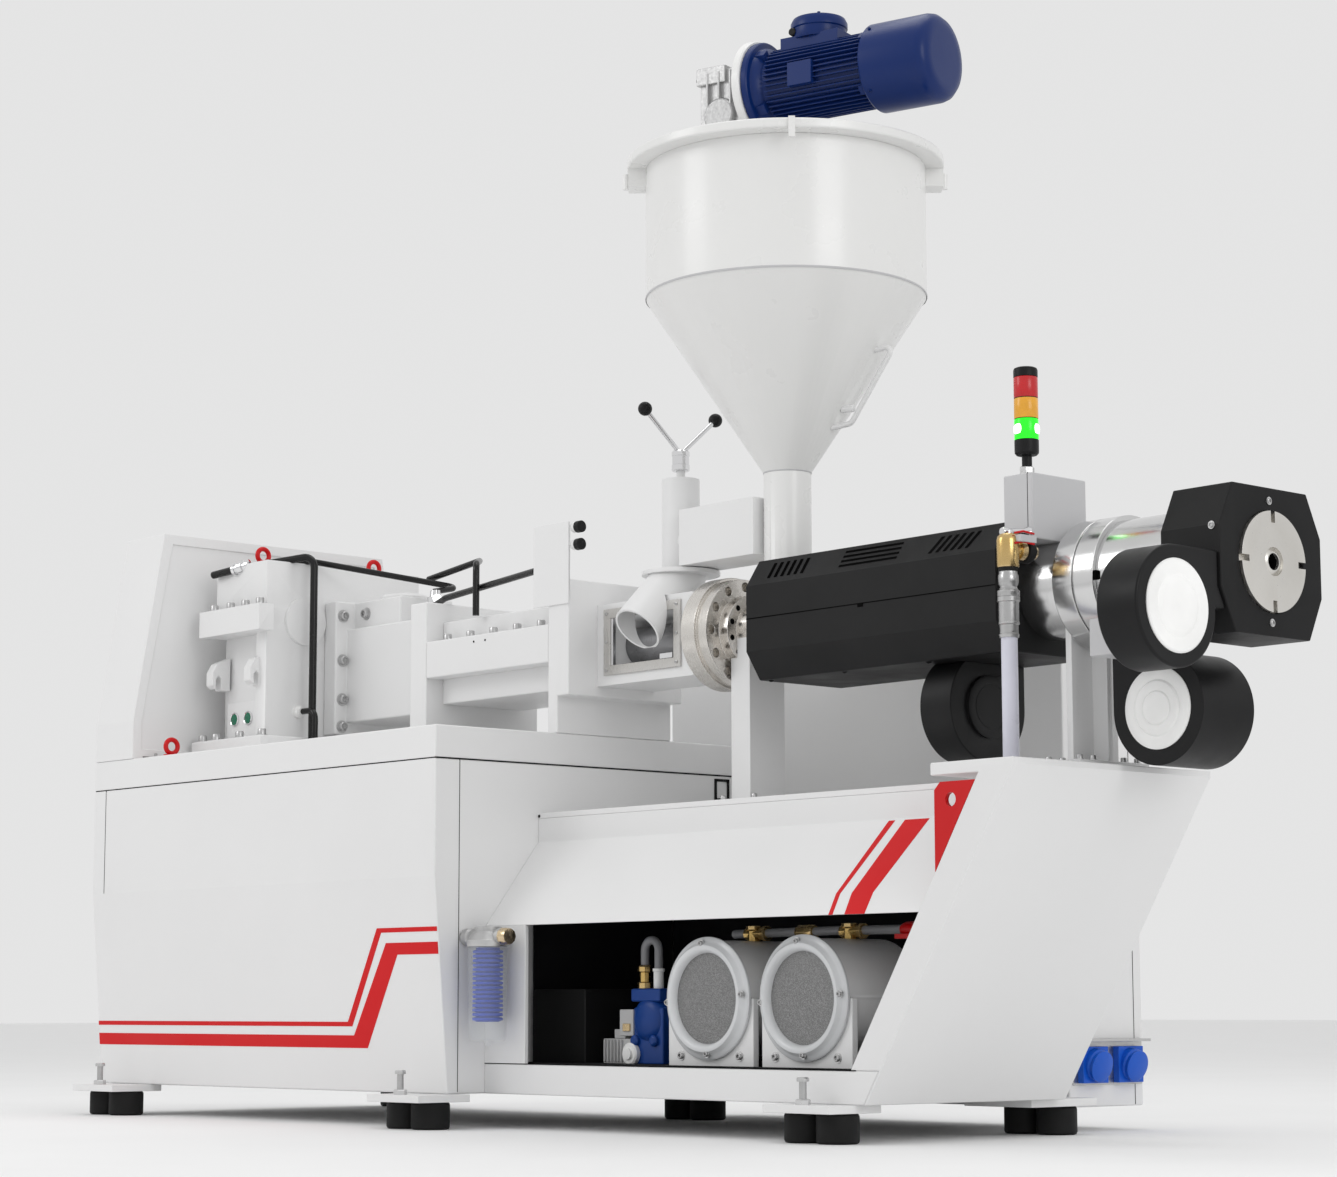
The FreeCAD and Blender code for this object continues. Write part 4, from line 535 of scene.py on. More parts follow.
def levelling_bolts():
    """A levelling bolt with its nut on each foot plate, on the side that stands out."""
    plate_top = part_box("foot_plates")[1].z
    mesh = bmesh.new()
    for x, y in ((137, -48), (1369, -48), (2470, 92), (137, 933), (1369, 858), (2470, 818)):
        stand = aim(Vector((*at(x, y, 0).xy, plate_top)), Z)
        lathe(mesh, [(15, 0), (15, 9), (13, 11), (7.3, 11)], stand, 6)
        lathe(mesh, [(7.3, 11), (7.3, 44), (12, 44), (12, 50), (10.5, 52), (0, 52)], stand, 24)
    finished("levelling_bolts", mesh, ZINC, bevel=0)


def cabinet_details():
    """Seams of the cabinet's wrapped door, the framed opening on its end and the deck's gasket."""
    low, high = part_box("drive_cabinet")
    mesh = bmesh.new()
    thin = 0.0006
    end_x = high.x
    toe = at(0, 0, 543).z
    slab(mesh, (end_x - thin, low.y + 0.0665, low.z + 0.004), (end_x + thin, low.y + 0.0680, high.z - 0.001))
    slab(mesh, (low.x + 0.0550, low.y - thin, toe), (low.x + 0.0565, low.y + thin, high.z - 0.001))
    slab(
        mesh,
        (low.x + 0.004, low.y + 0.001, high.z - 0.0012),
        (end_x + thin, high.y - 0.001, high.z + 0.0012),
    )
    finished("cabinet_seams", mesh, JOINT_AND_SHADE_BLACK)
    mesh = bmesh.new()
    wide, tall, rim = 0.046, 0.052, 0.006
    corner = Vector((end_x, at(0, 823, 0).y, at(0, 0, 741).z))
    for start, stop in (
        ((0, 0, 0), (0.004, wide, rim)),
        ((0, 0, tall - rim), (0.004, wide, tall)),
        ((0, 0, 0), (0.004, rim, tall)),
        ((0, wide - rim, 0), (0.004, wide, tall)),
    ):
        slab(mesh, corner + Vector(start), corner + Vector(stop))
    finished("cabinet_port_frame", mesh, BLACK_PLASTIC, bevel=0.8)
    low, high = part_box("drive_guard")
    mesh = bmesh.new()
    slab(mesh, (high.x - 0.02, low.y + 0.03, low.z), (high.x + 0.003, high.y - 0.03, low.z + 0.007))
    finished("guard_gasket", mesh, GASKET, bevel=0.8)
    spots = []
    for share in (0.08, 0.30, 0.52, 0.74, 0.94):
        spots.append((Vector((high.x, low.y + (high.y - low.y) * share, low.z + 0.0135)), X))
    cap_screws("guard_screws", spots, 4.0, 3.0, washer=False)


def stripes():
    """Plain red livery stripes along the cabinet front and down the sloping hood."""
    low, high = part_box("drive_cabinet")
    toe = 543
    tuck = 39 / (toe - low.z / MM)

    def on_front(x, z):
        return at(x, max(0, (toe - z) * tuck) - 0.7, z)

    mesh = bmesh.new()
    edge = (high.x - low.x) / MM - 2
    for foot, bend_low, head, bend_high in (
        ((218, 228), (1086, 1070), (424, 434), (1214, 1199)),
        ((170, 198), (1140, 1091), (375, 401), (1270, 1230)),
    ):
        corners = [
            (on_front(2, foot[0]), on_front(2, foot[1])),
            (on_front(bend_low[0], foot[0]), on_front(bend_low[1], foot[1])),
            (on_front(bend_high[0], head[0]), on_front(bend_high[1], head[1])),
            (on_front(edge, head[0]), on_front(edge, head[1])),
        ]
        for start, stop in zip(corners, corners[1:]):
            plate(mesh, [start[0], stop[0], stop[1], start[1]], Y * 0.0012)
    finished("cabinet_stripes", mesh, STRIPE)
    slope_low, slope_high = at(0, 141, 436), at(0, 289, 625)
    across = slope_high - slope_low
    normal = Vector((0, -across.z, across.y)).normalized() * 0.0007

    def on_slope(x, share):
        return Vector((at(x, 0, 0).x, slope_low.y + across.y * share, slope_low.z + across.z * share))

    mesh = bmesh.new()
    for top, bend, foot in (
        ((2518, 2535), (2483, 2494), (2494, 2505)),
        ((2562, 2628), (2526, 2584), (2538, 2592)),
    ):
        levels = ((foot, 0.0), (bend, 0.22), (top, 0.985))
        for (first, share), (second, after) in zip(levels, levels[1:]):
            outline = [
                on_slope(first[0], share),
                on_slope(first[1], share),
                on_slope(second[1], after),
                on_slope(second[0], after),
            ]
            plate(mesh, outline, normal)
    finished("hood_stripes", mesh, STRIPE)


def control_cabinet_details():
    """Door seam, lid and film strip of the control cabinet, and its two flip-lid sockets."""
    low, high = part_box("control_cabinet")
    mesh = bmesh.new()
    slab(
        mesh,
        (high.x - 0.0006, high.y - 0.028, low.z + 0.003),
        (high.x + 0.0006, high.y - 0.0265, high.z - 0.003),
    )
    slab(
        mesh,
        (low.x + 0.003, high.y - 0.0006, low.z + 0.02),
        (high.x - 0.02, high.y + 0.0001, low.z + 0.0215),
    )
    slab(
        mesh,
        ((low.x + high.x) / 2, high.y - 0.0006, low.z + 0.02),
        ((low.x + high.x) / 2 + 0.0015, high.y + 0.0001, high.z - 0.02),
    )
    finished("control_cabinet_seams", mesh, JOINT_AND_SHADE_BLACK)
    low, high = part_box("power_sockets")
    middle = (low.y + high.y) / 2
    mesh = bmesh.new()
    slab(mesh, (low.x, low.y, high.z - 0.006), (low.x + 0.030, high.y, high.z))
    slab(mesh, (low.x, low.y, low.z), (low.x + 0.004, high.y, high.z))
    finished("socket_bracket", mesh, ZINC, bevel=1, replaces=("power_sockets",))
    mesh = bmesh.new()
    for y in (low.y + 0.055, middle + 0.057):
        centre = Vector((low.x + 0.004, y, (low.z + high.z) / 2 - 0.004))
        slab(mesh, centre + Vector((0, -0.040, -0.040)), centre + Vector((0.016, 0.040, 0.036)))
        lathe(
            mesh,
            [(34, 0), (34, 12), (31, 16), (31, 20), (33, 21), (33, 25), (28, 27), (0, 27)],
            aim(centre + X * 0.010, Vector((1, 0, -0.25))),
            40,
        )
    finished("socket_bodies", mesh, BLUE_PLASTIC, bevel=2)


def base_details():
    """The base's seam, the screws of the vessel plates and dark sheets of painted shade behind the equipment.
    """
    low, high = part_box("base_frame")
    mesh = bmesh.new()
    seam = high.z
    slab(mesh, (low.x + 0.001, low.y - 0.0004, seam - 0.0008), (high.x - 0.06, low.y + 0.001, seam + 0.0008))
    # A small near-black disc paints the shade inside a hole in the base.
    spot = at(1421, 279, 683)
    lathe(mesh, [(0, 0), (3.4, 0), (3.4, 1), (0, 1)], aim(spot + Vector((0.004, 0.0095, 0)), -Y), 16)
    finished("base_seams", mesh, JOINT_AND_SHADE_BLACK)
    drums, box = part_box("filter_vessels"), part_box("supply_box")
    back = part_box("base_panels")[1].y
    # Dark sheets at the back, side and floor of the base's opening paint the shade of its unlit inside.
    mesh = bmesh.new()
    slab(mesh, (low.x + 0.012, back - 0.030, box[0].z), (drums[1].x + 0.08, back - 0.026, box[0].z + 0.50))
    slab(mesh, (low.x + 0.006, box[0].y + 0.010, box[0].z), (low.x + 0.010, back - 0.030, box[0].z + 0.35))
    slab(
        mesh,
        (low.x + 0.012, box[0].y - 0.10, box[0].z),
        (drums[1].x + 0.08, back - 0.030, box[0].z + 0.002),
    )
    finished("base_shade_sheets", mesh, SHADE_SHEET, bevel=0.5)
    spots = []
    drum_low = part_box("filter_vessels")[0]
    for number in (0, 1):
        for side in (0.040, 0.216):
            spots.append((drum_low + Vector((number * DRUM_PITCH + side, 0, 0.022)), -Y))
    cap_screws("vessel_screws", spots, 7, 7)


# ---------------------------------------------------------------- drive end


def gearbox_details():
    """Gearbox bolts, cast hooks, sight glasses and the shaft cover's rim."""
    ledge_z = at(0, 0, 1248).z
    spots = []
    for node, level, inset, row in (
        ("gearbox_case", ledge_z, 0.022, (258, 332, 398, 462)),
        ("gearbox_foot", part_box("gearbox_foot")[1].z, 0.020, (214, 275, 380, 478)),
    ):
        low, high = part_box(node)
        for x in row:
            for y in (low.y + inset, high.y - inset):
                spots.append((Vector((at(x, 0, 0).x, y, level)), Z))
    cap_screws("gearbox_screws", spots, 10.5, 17)
    mesh = bmesh.new()
    hook = (
        (-2, 1134), (38, 1118), (52, 1094), (52, 1062), (40, 1052),
        (40, 1078), (34, 1086), (26, 1080), (26, 1050), (-2, 1050),
    )
    for x in (236, 404):
        plate(mesh, [at(x, 224 - out, z) for out, z in hook], X * 0.030)
    finished("gearbox_hooks", mesh, WHITE, bevel=3)
    mesh = bmesh.new()
    rims = bmesh.new()
    for x in (296, 356):
        stand = aim(at(x, 222, 976), -Y)
        lathe(mesh, [(0, 4.6), (10, 4.2), (14, 3.0)], stand, 32)
        lathe(rims, [(14, 0), (14, 4), (16, 5), (17.5, 3.5), (17.5, 0)], stand, 32)
    finished("sight_glasses", mesh, GREEN_GLASS)
    finished("sight_glass_rims", rims, CHROME)
    spots = [(at(510, y, z), X) for z in (1232, 1120, 1022, 954) for y in (396, 634)]
    spots.append((at(560, 433, 1236), -Y))
    cap_screws("coupling_screws", spots, 11, 13)
    mesh = bmesh.new()
    lathe(mesh, [(62, 0), (62, 8), (56, 14), (20, 20), (0, 21)], aim(at(610, 515, 1269), Z), 48)
    finished("coupling_cap_dome", mesh, WHITE)


def bracket_details():
    """Screws along the thrust bracket's ledges, its two small holes, and the gauges."""
    low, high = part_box("bracket_beams")
    spots = []
    for step in range(5):
        x = low.x + 0.052 + step * 0.088
        spots.append((Vector((x, low.y + 0.025, high.z)), Z))
        spots.append((Vector((x, high.y - 0.025, high.z)), Z))
    cap_screws("beam_screws", spots, 10, 16)
    # The two small holes are thin near-black discs of painted shade.
    mesh = bmesh.new()
    for x in (0.185, 0.228):
        lathe(
            mesh,
            [(0, 0), (2.6, 0), (2.6, 0.6), (0, 0.6)],
            aim(Vector((low.x + x, low.y, low.z + 0.072)), -Y),
            12,
        )
    finished("beam_pin_holes", mesh, JOINT_AND_SHADE_BLACK)
    low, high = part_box("gauge_plate")
    mesh = bmesh.new()
    silver = bmesh.new()
    for drop in (0.014, 0.054):
        stand = aim(Vector((high.x - 0.029, low.y + 0.017, high.z - drop)), X)
        lathe(silver, [(7, 0), (7, 8), (9, 8), (9, 13)], stand, 32)
        lathe(mesh, [(12, 12), (13.5, 14), (13.5, 28), (11.5, 29.5), (0, 29.5)], stand, 32)
    finished("gauge_stems", silver, CHROME)
    finished("gauge_knobs", mesh, BLACK_PLASTIC)


def lube_pipes():
    """Black lubrication pipes over the gearbox and down to the deck, with silver couplings."""
    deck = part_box("cabinet_cap")[1].z / MM
    tube("lube_pipe_front", [
        at(240, 186, 1345),
        at(330, 196, 1352),
        at(512, 305, 1376),
        at(512, 305, deck),
    ], 9.5, 26, PIPE_BLACK)
    tube("lube_pipe_top", [
        at(395, 240, 1366),
        at(470, 330, 1368),
        at(790, 545, 1288),
        at(812, 452, 1268),
    ], 7.5, 22, PIPE_BLACK)
    tube("lube_pipe_bracket", [
        at(700, 520, 1316),
        at(905, 520, 1340),
        at(1082, 372, 1300),
        at(1082, 372, 1176),
    ], 8, 24, PIPE_BLACK)
    tube("lube_pipe_gauge", [
        at(830, 442, 1232),
        at(900, 420, 1240),
        at(1338, 345, 1252),
    ], 8, 60, PIPE_BLACK)
    tube("lube_pipe_low", [
        at(461, 296, 988),
        at(532, 300, 988),
        at(532, 300, deck),
    ], 7.5, 22, PIPE_BLACK)
    mesh = bmesh.new()
    stand = aim(at(322, 195, 1351), (at(345, 206, 1356) - at(322, 195, 1351)))
    lathe(
        mesh,
        [
            (9, -4), (15, -4), (16, 4), (13, 5), (13, 12), (17, 13), (17, 26), (13, 28), (13, 34),
            (16, 35), (16, 44), (9, 46),
        ],
        stand,
        24,
    )
    body = aim(at(820, 450, 1244), Z)
    lathe(mesh, [(0, -26), (13, -26), (14, -10), (20, -8), (20, 8), (14, 10), (12, 26), (0, 26)], body, 24)
    lathe(mesh, [(0, -26), (11, -26), (11, 26), (0, 26)], aim(at(820, 450, 1244), Vector((1, -0.5, 0.1))), 24)
    finished("lube_couplings", mesh, CHROME)
    mesh = bmesh.new()
    lathe(mesh, [(0, 0), (15, 0), (15, 10), (11, 13), (11, 22), (0, 22)], aim(at(461, 296, 988), X), 24)
    finished("lube_stub", mesh, WHITE_PLASTIC)


# ---------------------------------------------------------------- feed, barrel and die


def window_details():
    """Corner screws and the inner slide of the feed window."""
    low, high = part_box("window_frame")
    spots = []
    for x in (low.x + 0.011, high.x - 0.011):
        for z in (low.z + 0.011, (low.z + high.z) / 2, high.z - 0.011):
            spots.append((Vector((x, low.y, z)), -Y))
    cap_screws("window_screws", spots, 3.6, 2.4, washer=False)
    mesh = bmesh.new()
    slab(mesh, (high.x - 0.066, low.y - 0.001, low.z + 0.022), (high.x - 0.024, low.y + 0.006, low.z + 0.034))
    slab(mesh, (low.x + 0.022, low.y + 0.003, low.z + 0.022), (low.x + 0.030, low.y + 0.012, high.z - 0.022))
    finished("window_slide", mesh, CHROME, bevel=0.8)
    start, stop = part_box("extruder_screw")
    centre = (start + stop) / 2
    mesh = bmesh.new()
    turns, steps, inner, outer = 3.2, 150, 33, 43.6
    begin = at(1505, 0, 0).x
    length = 0.232
    previous = None
    for step in range(steps + 1):
        angle = math.tau * turns * step / steps
        x = begin + length * step / steps
        across = Vector((0, math.cos(angle), math.sin(angle)))
        ring = [
            mesh.verts.new(Vector((x - 0.004, centre.y, centre.z)) + across * inner * MM),
            mesh.verts.new(Vector((x - 0.003, centre.y, centre.z)) + across * outer * MM),
            mesh.verts.new(Vector((x + 0.003, centre.y, centre.z)) + across * outer * MM),
            mesh.verts.new(Vector((x + 0.004, centre.y, centre.z)) + across * inner * MM),
        ]
        if previous:
            for corner in range(4):
                after = (corner + 1) % 4
                mesh.faces.new([previous[corner], previous[after], ring[after], ring[corner]])
        previous = ring
    finished("screw_flight", mesh, STEEL)


def lever():
    """The two-ball lever: knurled hub, polished arms and black balls."""
    low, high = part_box("lever_handle")
    centre = Vector(((low.x + high.x) / 2, (low.y + high.y) / 2, low.z))
    radius = 16 * MM
    hub_height = 48
    mesh = bmesh.new()
    lathe(
        mesh,
        [
            (10.4, 0), (18, 0), (20.5, 2.5), (20.5, 14), (19.3, 15), (19.3, 34), (20.5, 35),
            (20.5, 44), (17, hub_height), (0, hub_height),
        ],
        aim(centre, Z),
        48,
    )
    lathe(mesh, [(10.4, 0), (10.4, 24), (0, 24)], aim(centre, Z), 48)
    for side in (-1, 1):
        ball = Vector((centre.x, (high.y - radius) if side > 0 else (low.y + radius), high.z - radius))
        root = centre + Z * (hub_height - 8) * MM
        stand = aim(root, ball - root)
        length = (ball - root).length / MM
        lathe(mesh, [(0, 0), (5.5, 0), (5.5, length - 14), (7, length - 12), (7, length)], stand, 24)
    finished("lever_arms", mesh, CHROME, body=LEVER, replaces=("lever_handle",))
    mesh = bmesh.new()
    for side in (-1, 1):
        ball = Vector((centre.x, (high.y - radius) if side > 0 else (low.y + radius), high.z - radius))
        bmesh.ops.create_uvsphere(
            mesh,
            u_segments=36,
            v_segments=20,
            radius=radius,
            matrix=Matrix.Translation(ball),
        )
    finished("lever_balls", mesh, BLACK_PLASTIC, body=LEVER, sharp=60)


def barrel_details():
    """Seams, vent slots and screws of the barrel cover, and the flange's bores; the slots and bores are
    near-black painted shade.
    """
    low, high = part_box("barrel_cover")
    mesh = bmesh.new()
    middle = (low.z + high.z) / 2
    slab(
        mesh,
        (low.x + 0.002, low.y - 0.0006, middle - 0.001),
        (high.x - 0.002, low.y + 0.0006, middle + 0.001),
    )
    slab(
        mesh,
        (low.x + 0.002, high.y - 0.0006, middle - 0.001),
        (high.x - 0.002, high.y + 0.0006, middle + 0.001),
    )
    slab(
        mesh,
        (low.x + 0.335, low.y - 0.0012, middle - 0.007),
        (low.x + 0.350, low.y + 0.0006, middle + 0.001),
    )
    rise = 58 * MM
    depth = 39 * MM
    # Vent slots: flat near-black plates of painted shade on the cover's slopes.
    for mirror in (1, -1):
        edge_y = low.y if mirror > 0 else high.y
        foot = Vector((0, edge_y, high.z - rise))
        up = Vector((0, depth * mirror, rise))
        out = Vector((0, -rise * mirror, depth)).normalized() * 0.0009

        def slot_at(x, start, x_top, stop, width):
            half = X * (width * MM / 2)
            a = Vector((low.x + x * MM, foot.y, foot.z)) + up * start
            b = Vector((low.x + x_top * MM, foot.y, foot.z)) + up * stop
            plate(mesh, [a - half, a + half, b + half, b - half], out)

        for step in range(6):
            slot_at(62 + step * 20, 0.22, 62 + step * 20, 0.80, 8)
        for share in (0.26, 0.44, 0.62, 0.80):
            a = Vector((low.x + 0.272, foot.y, foot.z)) + up * (share - 0.035)
            b = Vector((low.x + 0.272, foot.y, foot.z)) + up * (share + 0.035)
            plate(mesh, [a, a + X * 0.165, b + X * 0.165, b], out)
        for step in range(6):
            slot_at(530 + step * 20, 0.22, 548 + step * 20, 0.80, 8)
    finished("cover_vent_slots", mesh, JOINT_AND_SHADE_BLACK)
    spots = []
    for x in (0.02, 0.24, 0.48, 0.69):
        spots.append((Vector((low.x + x, low.y + 0.055, low.z)), -Z))
    cap_screws("cover_screws", spots, 4, 3, material=BLACK_PLASTIC)
    # Flat near-black discs of painted shade in the flange's screw bores.
    centre = at(1890, 515, 1074)
    mesh = bmesh.new()
    for step in range(12):
        angle = math.tau * (step + 0.5) / 12
        spot = centre + Vector((0, math.cos(angle), math.sin(angle))) * 0.068
        lathe(mesh, [(0, 0.3), (5.5, 0.3), (5.5, 0), (6.5, 0)], aim(spot, X), 20)
    finished("hub_screw_bores", mesh, JOINT_AND_SHADE_BLACK)


def die_details():
    """Die cover screws, painted shade at the clamp's split, and the raised collar round the die's outlet with
    painted shade inside it.
    """
    low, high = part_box("die_cover")
    middle_y = (low.y + high.y) / 2
    middle_z = (low.z + high.z) / 2
    spots = [
        (Vector((high.x, middle_y - 0.004, middle_z + 0.114)), X),
        (Vector((high.x, middle_y - 0.004, middle_z - 0.114)), X),
        (Vector((high.x - 0.018, low.y, middle_z + 0.056)), -Y),
        (Vector((high.x - 0.018, low.y, middle_z - 0.054)), -Y),
        (Vector((high.x - 0.018, high.y, middle_z + 0.056)), Y),
        (Vector((high.x - 0.018, high.y, middle_z - 0.054)), Y),
    ]
    cap_screws("die_cover_screws", spots, 5.2, 4.0)
    low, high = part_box("die_plate")
    centre = Vector((high.x, middle_y, middle_z))
    mesh = bmesh.new()
    lathe(mesh, [(27, -6), (24, -5.4), (18.5, -1.5), (16, -1.5), (15.6, -6)], aim(centre, X), 48)
    finished("die_outlet_ring", mesh, DIE_STEEL)
    mesh = bmesh.new()
    lathe(mesh, [(15.4, -6), (15.4, -39.5), (0, -39.5)], aim(centre, X), 48)
    finished("die_outlet_shadow", mesh, JOINT_AND_SHADE_BLACK)
    low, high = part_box("clamp_rings")
    mesh = bmesh.new()
    split = (low.x + high.x) / 2
    centre = Vector((split, (low.y + high.y) / 2, (low.z + high.z) / 2))
    lathe(mesh, [(122.4, -1.9), (122.4, 1.9)], aim(centre, X), 96)
    slab(
        mesh,
        (high.x - 0.001, low.y + 0.003, centre.z - 0.010),
        (high.x + 0.007, low.y + 0.030, centre.z + 0.008),
    )
    finished("clamp_split_shadow", mesh, JOINT_AND_SHADE_BLACK)


def blower_caps():
    """Stepped inlet caps of the die blowers, and the rings on the barrel blower's face."""
    low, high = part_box("side_blower")
    centre = Vector((high.x, low.y + 0.112, low.z + 0.112))
    mesh = bmesh.new()
    profile = [
        (0, 0), (86, 0), (86, 2), (83, 4.6), (64, 5.4), (60, 3.6), (57, 3.0), (50, 6.8), (46, 7.6),
        (0, 7.8),
    ]
    lathe(mesh, profile, aim(centre, X), 64)
    finished("side_blower_cap", mesh, WHITE_PLASTIC, replaces=("blower_caps",))
    low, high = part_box("lower_blower")
    centre = Vector(((low.x + high.x) / 2, low.y, low.z + 0.108))
    mesh = bmesh.new()
    profile = [
        (0, 0), (78, 0), (78, 2), (75, 4), (58, 4.8), (54, 3.2), (50, 6.4), (36, 6.9), (33, 5),
        (30, 7.4), (0, 7.8),
    ]
    lathe(mesh, profile, aim(centre, -Y), 64)
    finished("lower_blower_cap", mesh, WHITE_PLASTIC)
    low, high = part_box("barrel_blower")
    centre = Vector((high.x - 0.007, low.y + 0.111, low.z + 0.111))
    mesh = bmesh.new()
    lathe(
        mesh,
        [(64, 0), (64, 7), (60, 8), (48, 7.5), (47, 4), (44, 4), (43, 7.6), (0, 7.9)],
        aim(centre, X),
        56,
    )
    finished("barrel_blower_rings", mesh, BLACK_PLASTIC)


def column_screws():
    """Screws that hold the two barrel columns to the base."""
    spots = []
    for x in (1851, 1949):
        for y in (457, 573):
            spots.append((at(x, y, 704), Z))
    for x in (2811, 2889):
        for y in (430, 470, 560, 600):
            spots.append((at(x, y, 728), Z))
    cap_screws("column_screws", spots, 6.5, 10)


# ---------------------------------------------------------------- hopper and mixer drive


def hopper_details():
    """The hopper's weld seams and the bent handle low on its cone."""
    shell_low, shell_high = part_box("hopper_shell")
    centre = (shell_low + shell_high) / 2
    mesh = bmesh.new()
    cone_low, cone_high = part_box("hopper_cone")
    lathe(mesh, [(52.3, -2), (53.6, 0), (52.6, 2)], aim(Vector((centre.x, centre.y, cone_low.z)), Z), 64)
    lathe(
        mesh,
        [(308.6, -2.5), (309.8, 0), (308.6, 2.5)],
        aim(Vector((centre.x, centre.y, cone_high.z)), Z),
        96,
    )
    finished("hopper_weld_seams", mesh, GREY)
    run = (308.5 - 52) * MM
    rise = cone_high.z - cone_low.z
    side = Vector((0.951, 0.309, 0))

    def on_cone(level, out):
        radius = 0.052 + run * (level * MM / rise)
        return Vector((centre.x, centre.y, cone_low.z + level * MM)) + side * (radius + out * MM)

    tube("cone_handle", [on_cone(250, -2), on_cone(256, 42), on_cone(96, 42), on_cone(90, -2)], 6, 16, WHITE)
    peg = on_cone(128, 0)
    mesh = bmesh.new()
    lathe(mesh, [(0, -2), (8, 0), (8, 26), (6, 28), (0, 28)], aim(peg, side), 24)
    finished("cone_sight_peg", mesh, WHITE)


def mixer_drive():
    """The geared motor: cast gear unit, white lantern, blue finned motor, terminal box and cowl."""
    lid_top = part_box("hopper_lid")[1].z
    shell_low, shell_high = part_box("hopper_shell")
    centre = Vector(((shell_low.x + shell_high.x) / 2, (shell_low.y + shell_high.y) / 2, lid_top + 0.171))
    turn = math.radians(15)
    axis = Vector((math.cos(turn), math.sin(turn), 0))
    side = Vector((-math.sin(turn), math.cos(turn), 0))
    frame_matrix = Matrix((
        (axis.x, side.x, 0, centre.x),
        (axis.y, side.y, 0, centre.y),
        (0, 0, 1, centre.z),
        (0, 0, 0, 1),
    ))
    line = frame_matrix @ LIE_X
    # cast gear unit with ribs, bearing bosses and its foot
    mesh = bmesh.new()
    slab(mesh, (-0.190, -0.050, -0.150), (-0.082, 0.050, 0.052), frame_matrix)
    slab(mesh, (-0.198, -0.060, -0.171), (-0.076, 0.060, -0.152), frame_matrix)
    slab(mesh, (-0.196, -0.058, 0.020), (-0.120, 0.058, 0.060), frame_matrix)
    for offset in (-0.170, -0.140, -0.110):
        slab(mesh, (offset, -0.060, -0.150), (offset + 0.006, 0.060, 0.046), frame_matrix)
    lathe(
        mesh,
        [(0, -62), (36, -62), (40, -56), (44, -40), (44, 40), (40, 56), (36, 62), (0, 62)],
        frame_matrix @ Matrix.Translation((-0.136, 0, -0.055)) @ LIE_Y,
        40,
    )
    lathe(mesh, [(0, -196), (20, -196), (24, -190), (24, -150)], line, 32)
    lathe(mesh, [(40, -84), (52, -80), (86, -72.2), (0, -72.2)], line, 40)
    finished("mixer_gear_unit", mesh, CAST, bevel=2.5, replaces=("mixer_gearbox",))
    # Two near-black round ends: painted shade for the bores at the gear unit's end.
    mesh = bmesh.new()
    for y in (-0.030, 0.030):
        lathe(
            mesh,
            [(0, -12), (9, -12), (9, 12), (0, 12)],
            frame_matrix @ Matrix.Translation((-0.196, y, 0.040)) @ LIE_X,
            20,
        )
    finished("gear_unit_bore_shade", mesh, JOINT_AND_SHADE_BLACK)
    mesh = bmesh.new()
    lathe(mesh, [(60, -72), (109, -72), (112, -69), (112, -55), (109, -52), (60, -52)], line, 72)
    finished("mixer_lantern_ring", mesh, SHELL_WHITE)
    # flange, stator with fins, terminal box
    mesh = bmesh.new()
    lathe(
        mesh,
        [
            (0, -52), (103, -52), (106, -49), (106, -38), (103, -35), (92, -34), (88, -24), (74, -14),
            (74, 262), (0, 262),
        ],
        line,
        72,
    )
    fins = 44
    for step in range(fins):
        angle = math.tau * (step + 0.5) / fins
        if abs(math.degrees(angle) - 180) < 24:
            continue
        fin = line @ Matrix.Rotation(angle, 4, "Z")
        slab(mesh, (0.070, -0.0013, -0.006), (0.0845, 0.0013, 0.252), fin)
    for step in range(4):
        angle = math.radians(45 + 90 * step)
        ear = line @ Matrix.Rotation(angle, 4, "Z")
        slab(mesh, (0.060, -0.011, 0.226), (0.088, 0.011, 0.262), ear)
        slab(mesh, (0.060, -0.011, -0.034), (0.092, 0.011, -0.010), ear)
    slab(mesh, (0.020, -0.050, 0.055), (0.165, 0.050, 0.094), frame_matrix)
    slab(mesh, (0.060, -0.089, -0.030), (0.120, -0.070, 0.022), frame_matrix)
    lathe(
        mesh,
        [(0, 88), (58, 88), (60, 92), (60, 112), (63, 114), (63, 126), (58, 136), (50, 139), (0, 140)],
        frame_matrix @ Matrix.Translation((0.090, 0, 0)),
        56,
    )
    finished("mixer_motor_body", mesh, BLUE, bevel=0.7, replaces=("mixer_motor",))
    mesh = bmesh.new()
    lathe(
        mesh,
        [(84, 240), (94, 240), (97, 244), (97, 376), (94, 388), (84, 399), (70, 402.5), (60, 403), (0, 403)],
        line,
        80,
    )
    lathe(mesh, [(84, 240), (84, 252), (0, 252)], line, 80)
    finished("mixer_motor_cowl", mesh, BLUE)
    spots = []
    for step in range(4):
        angle = math.radians(45 + 90 * step)
        spot = line @ Matrix.Rotation(angle, 4, "Z") @ Vector((0.0975, 0, 0.256))
        spots.append((spot, (line.to_3x3() @ Matrix.Rotation(angle, 3, "Z")) @ X))
    box_spots = []
    for step in range(4):
        angle = math.radians(30 + 90 * step)
        box_spots.append(
            (frame_matrix @ Vector((0.090 + 0.054 * math.cos(angle), 0.054 * math.sin(angle), 0.1365)), Z)
        )
    cap_screws("motor_screws", spots + box_spots, 3.6, 3.0, material=BLUE, washer=False)
    mesh = bmesh.new()
    lathe(
        mesh,
        [(0, 0), (9, 0), (9, 9), (7, 11), (0, 11)],
        frame_matrix @ Matrix.Translation((0.052, -0.044, 0.104)) @ LIE_Y,
        24,
    )
    finished("terminal_gland", mesh, BLACK_PLASTIC)


# ---------------------------------------------------------------- signals and air


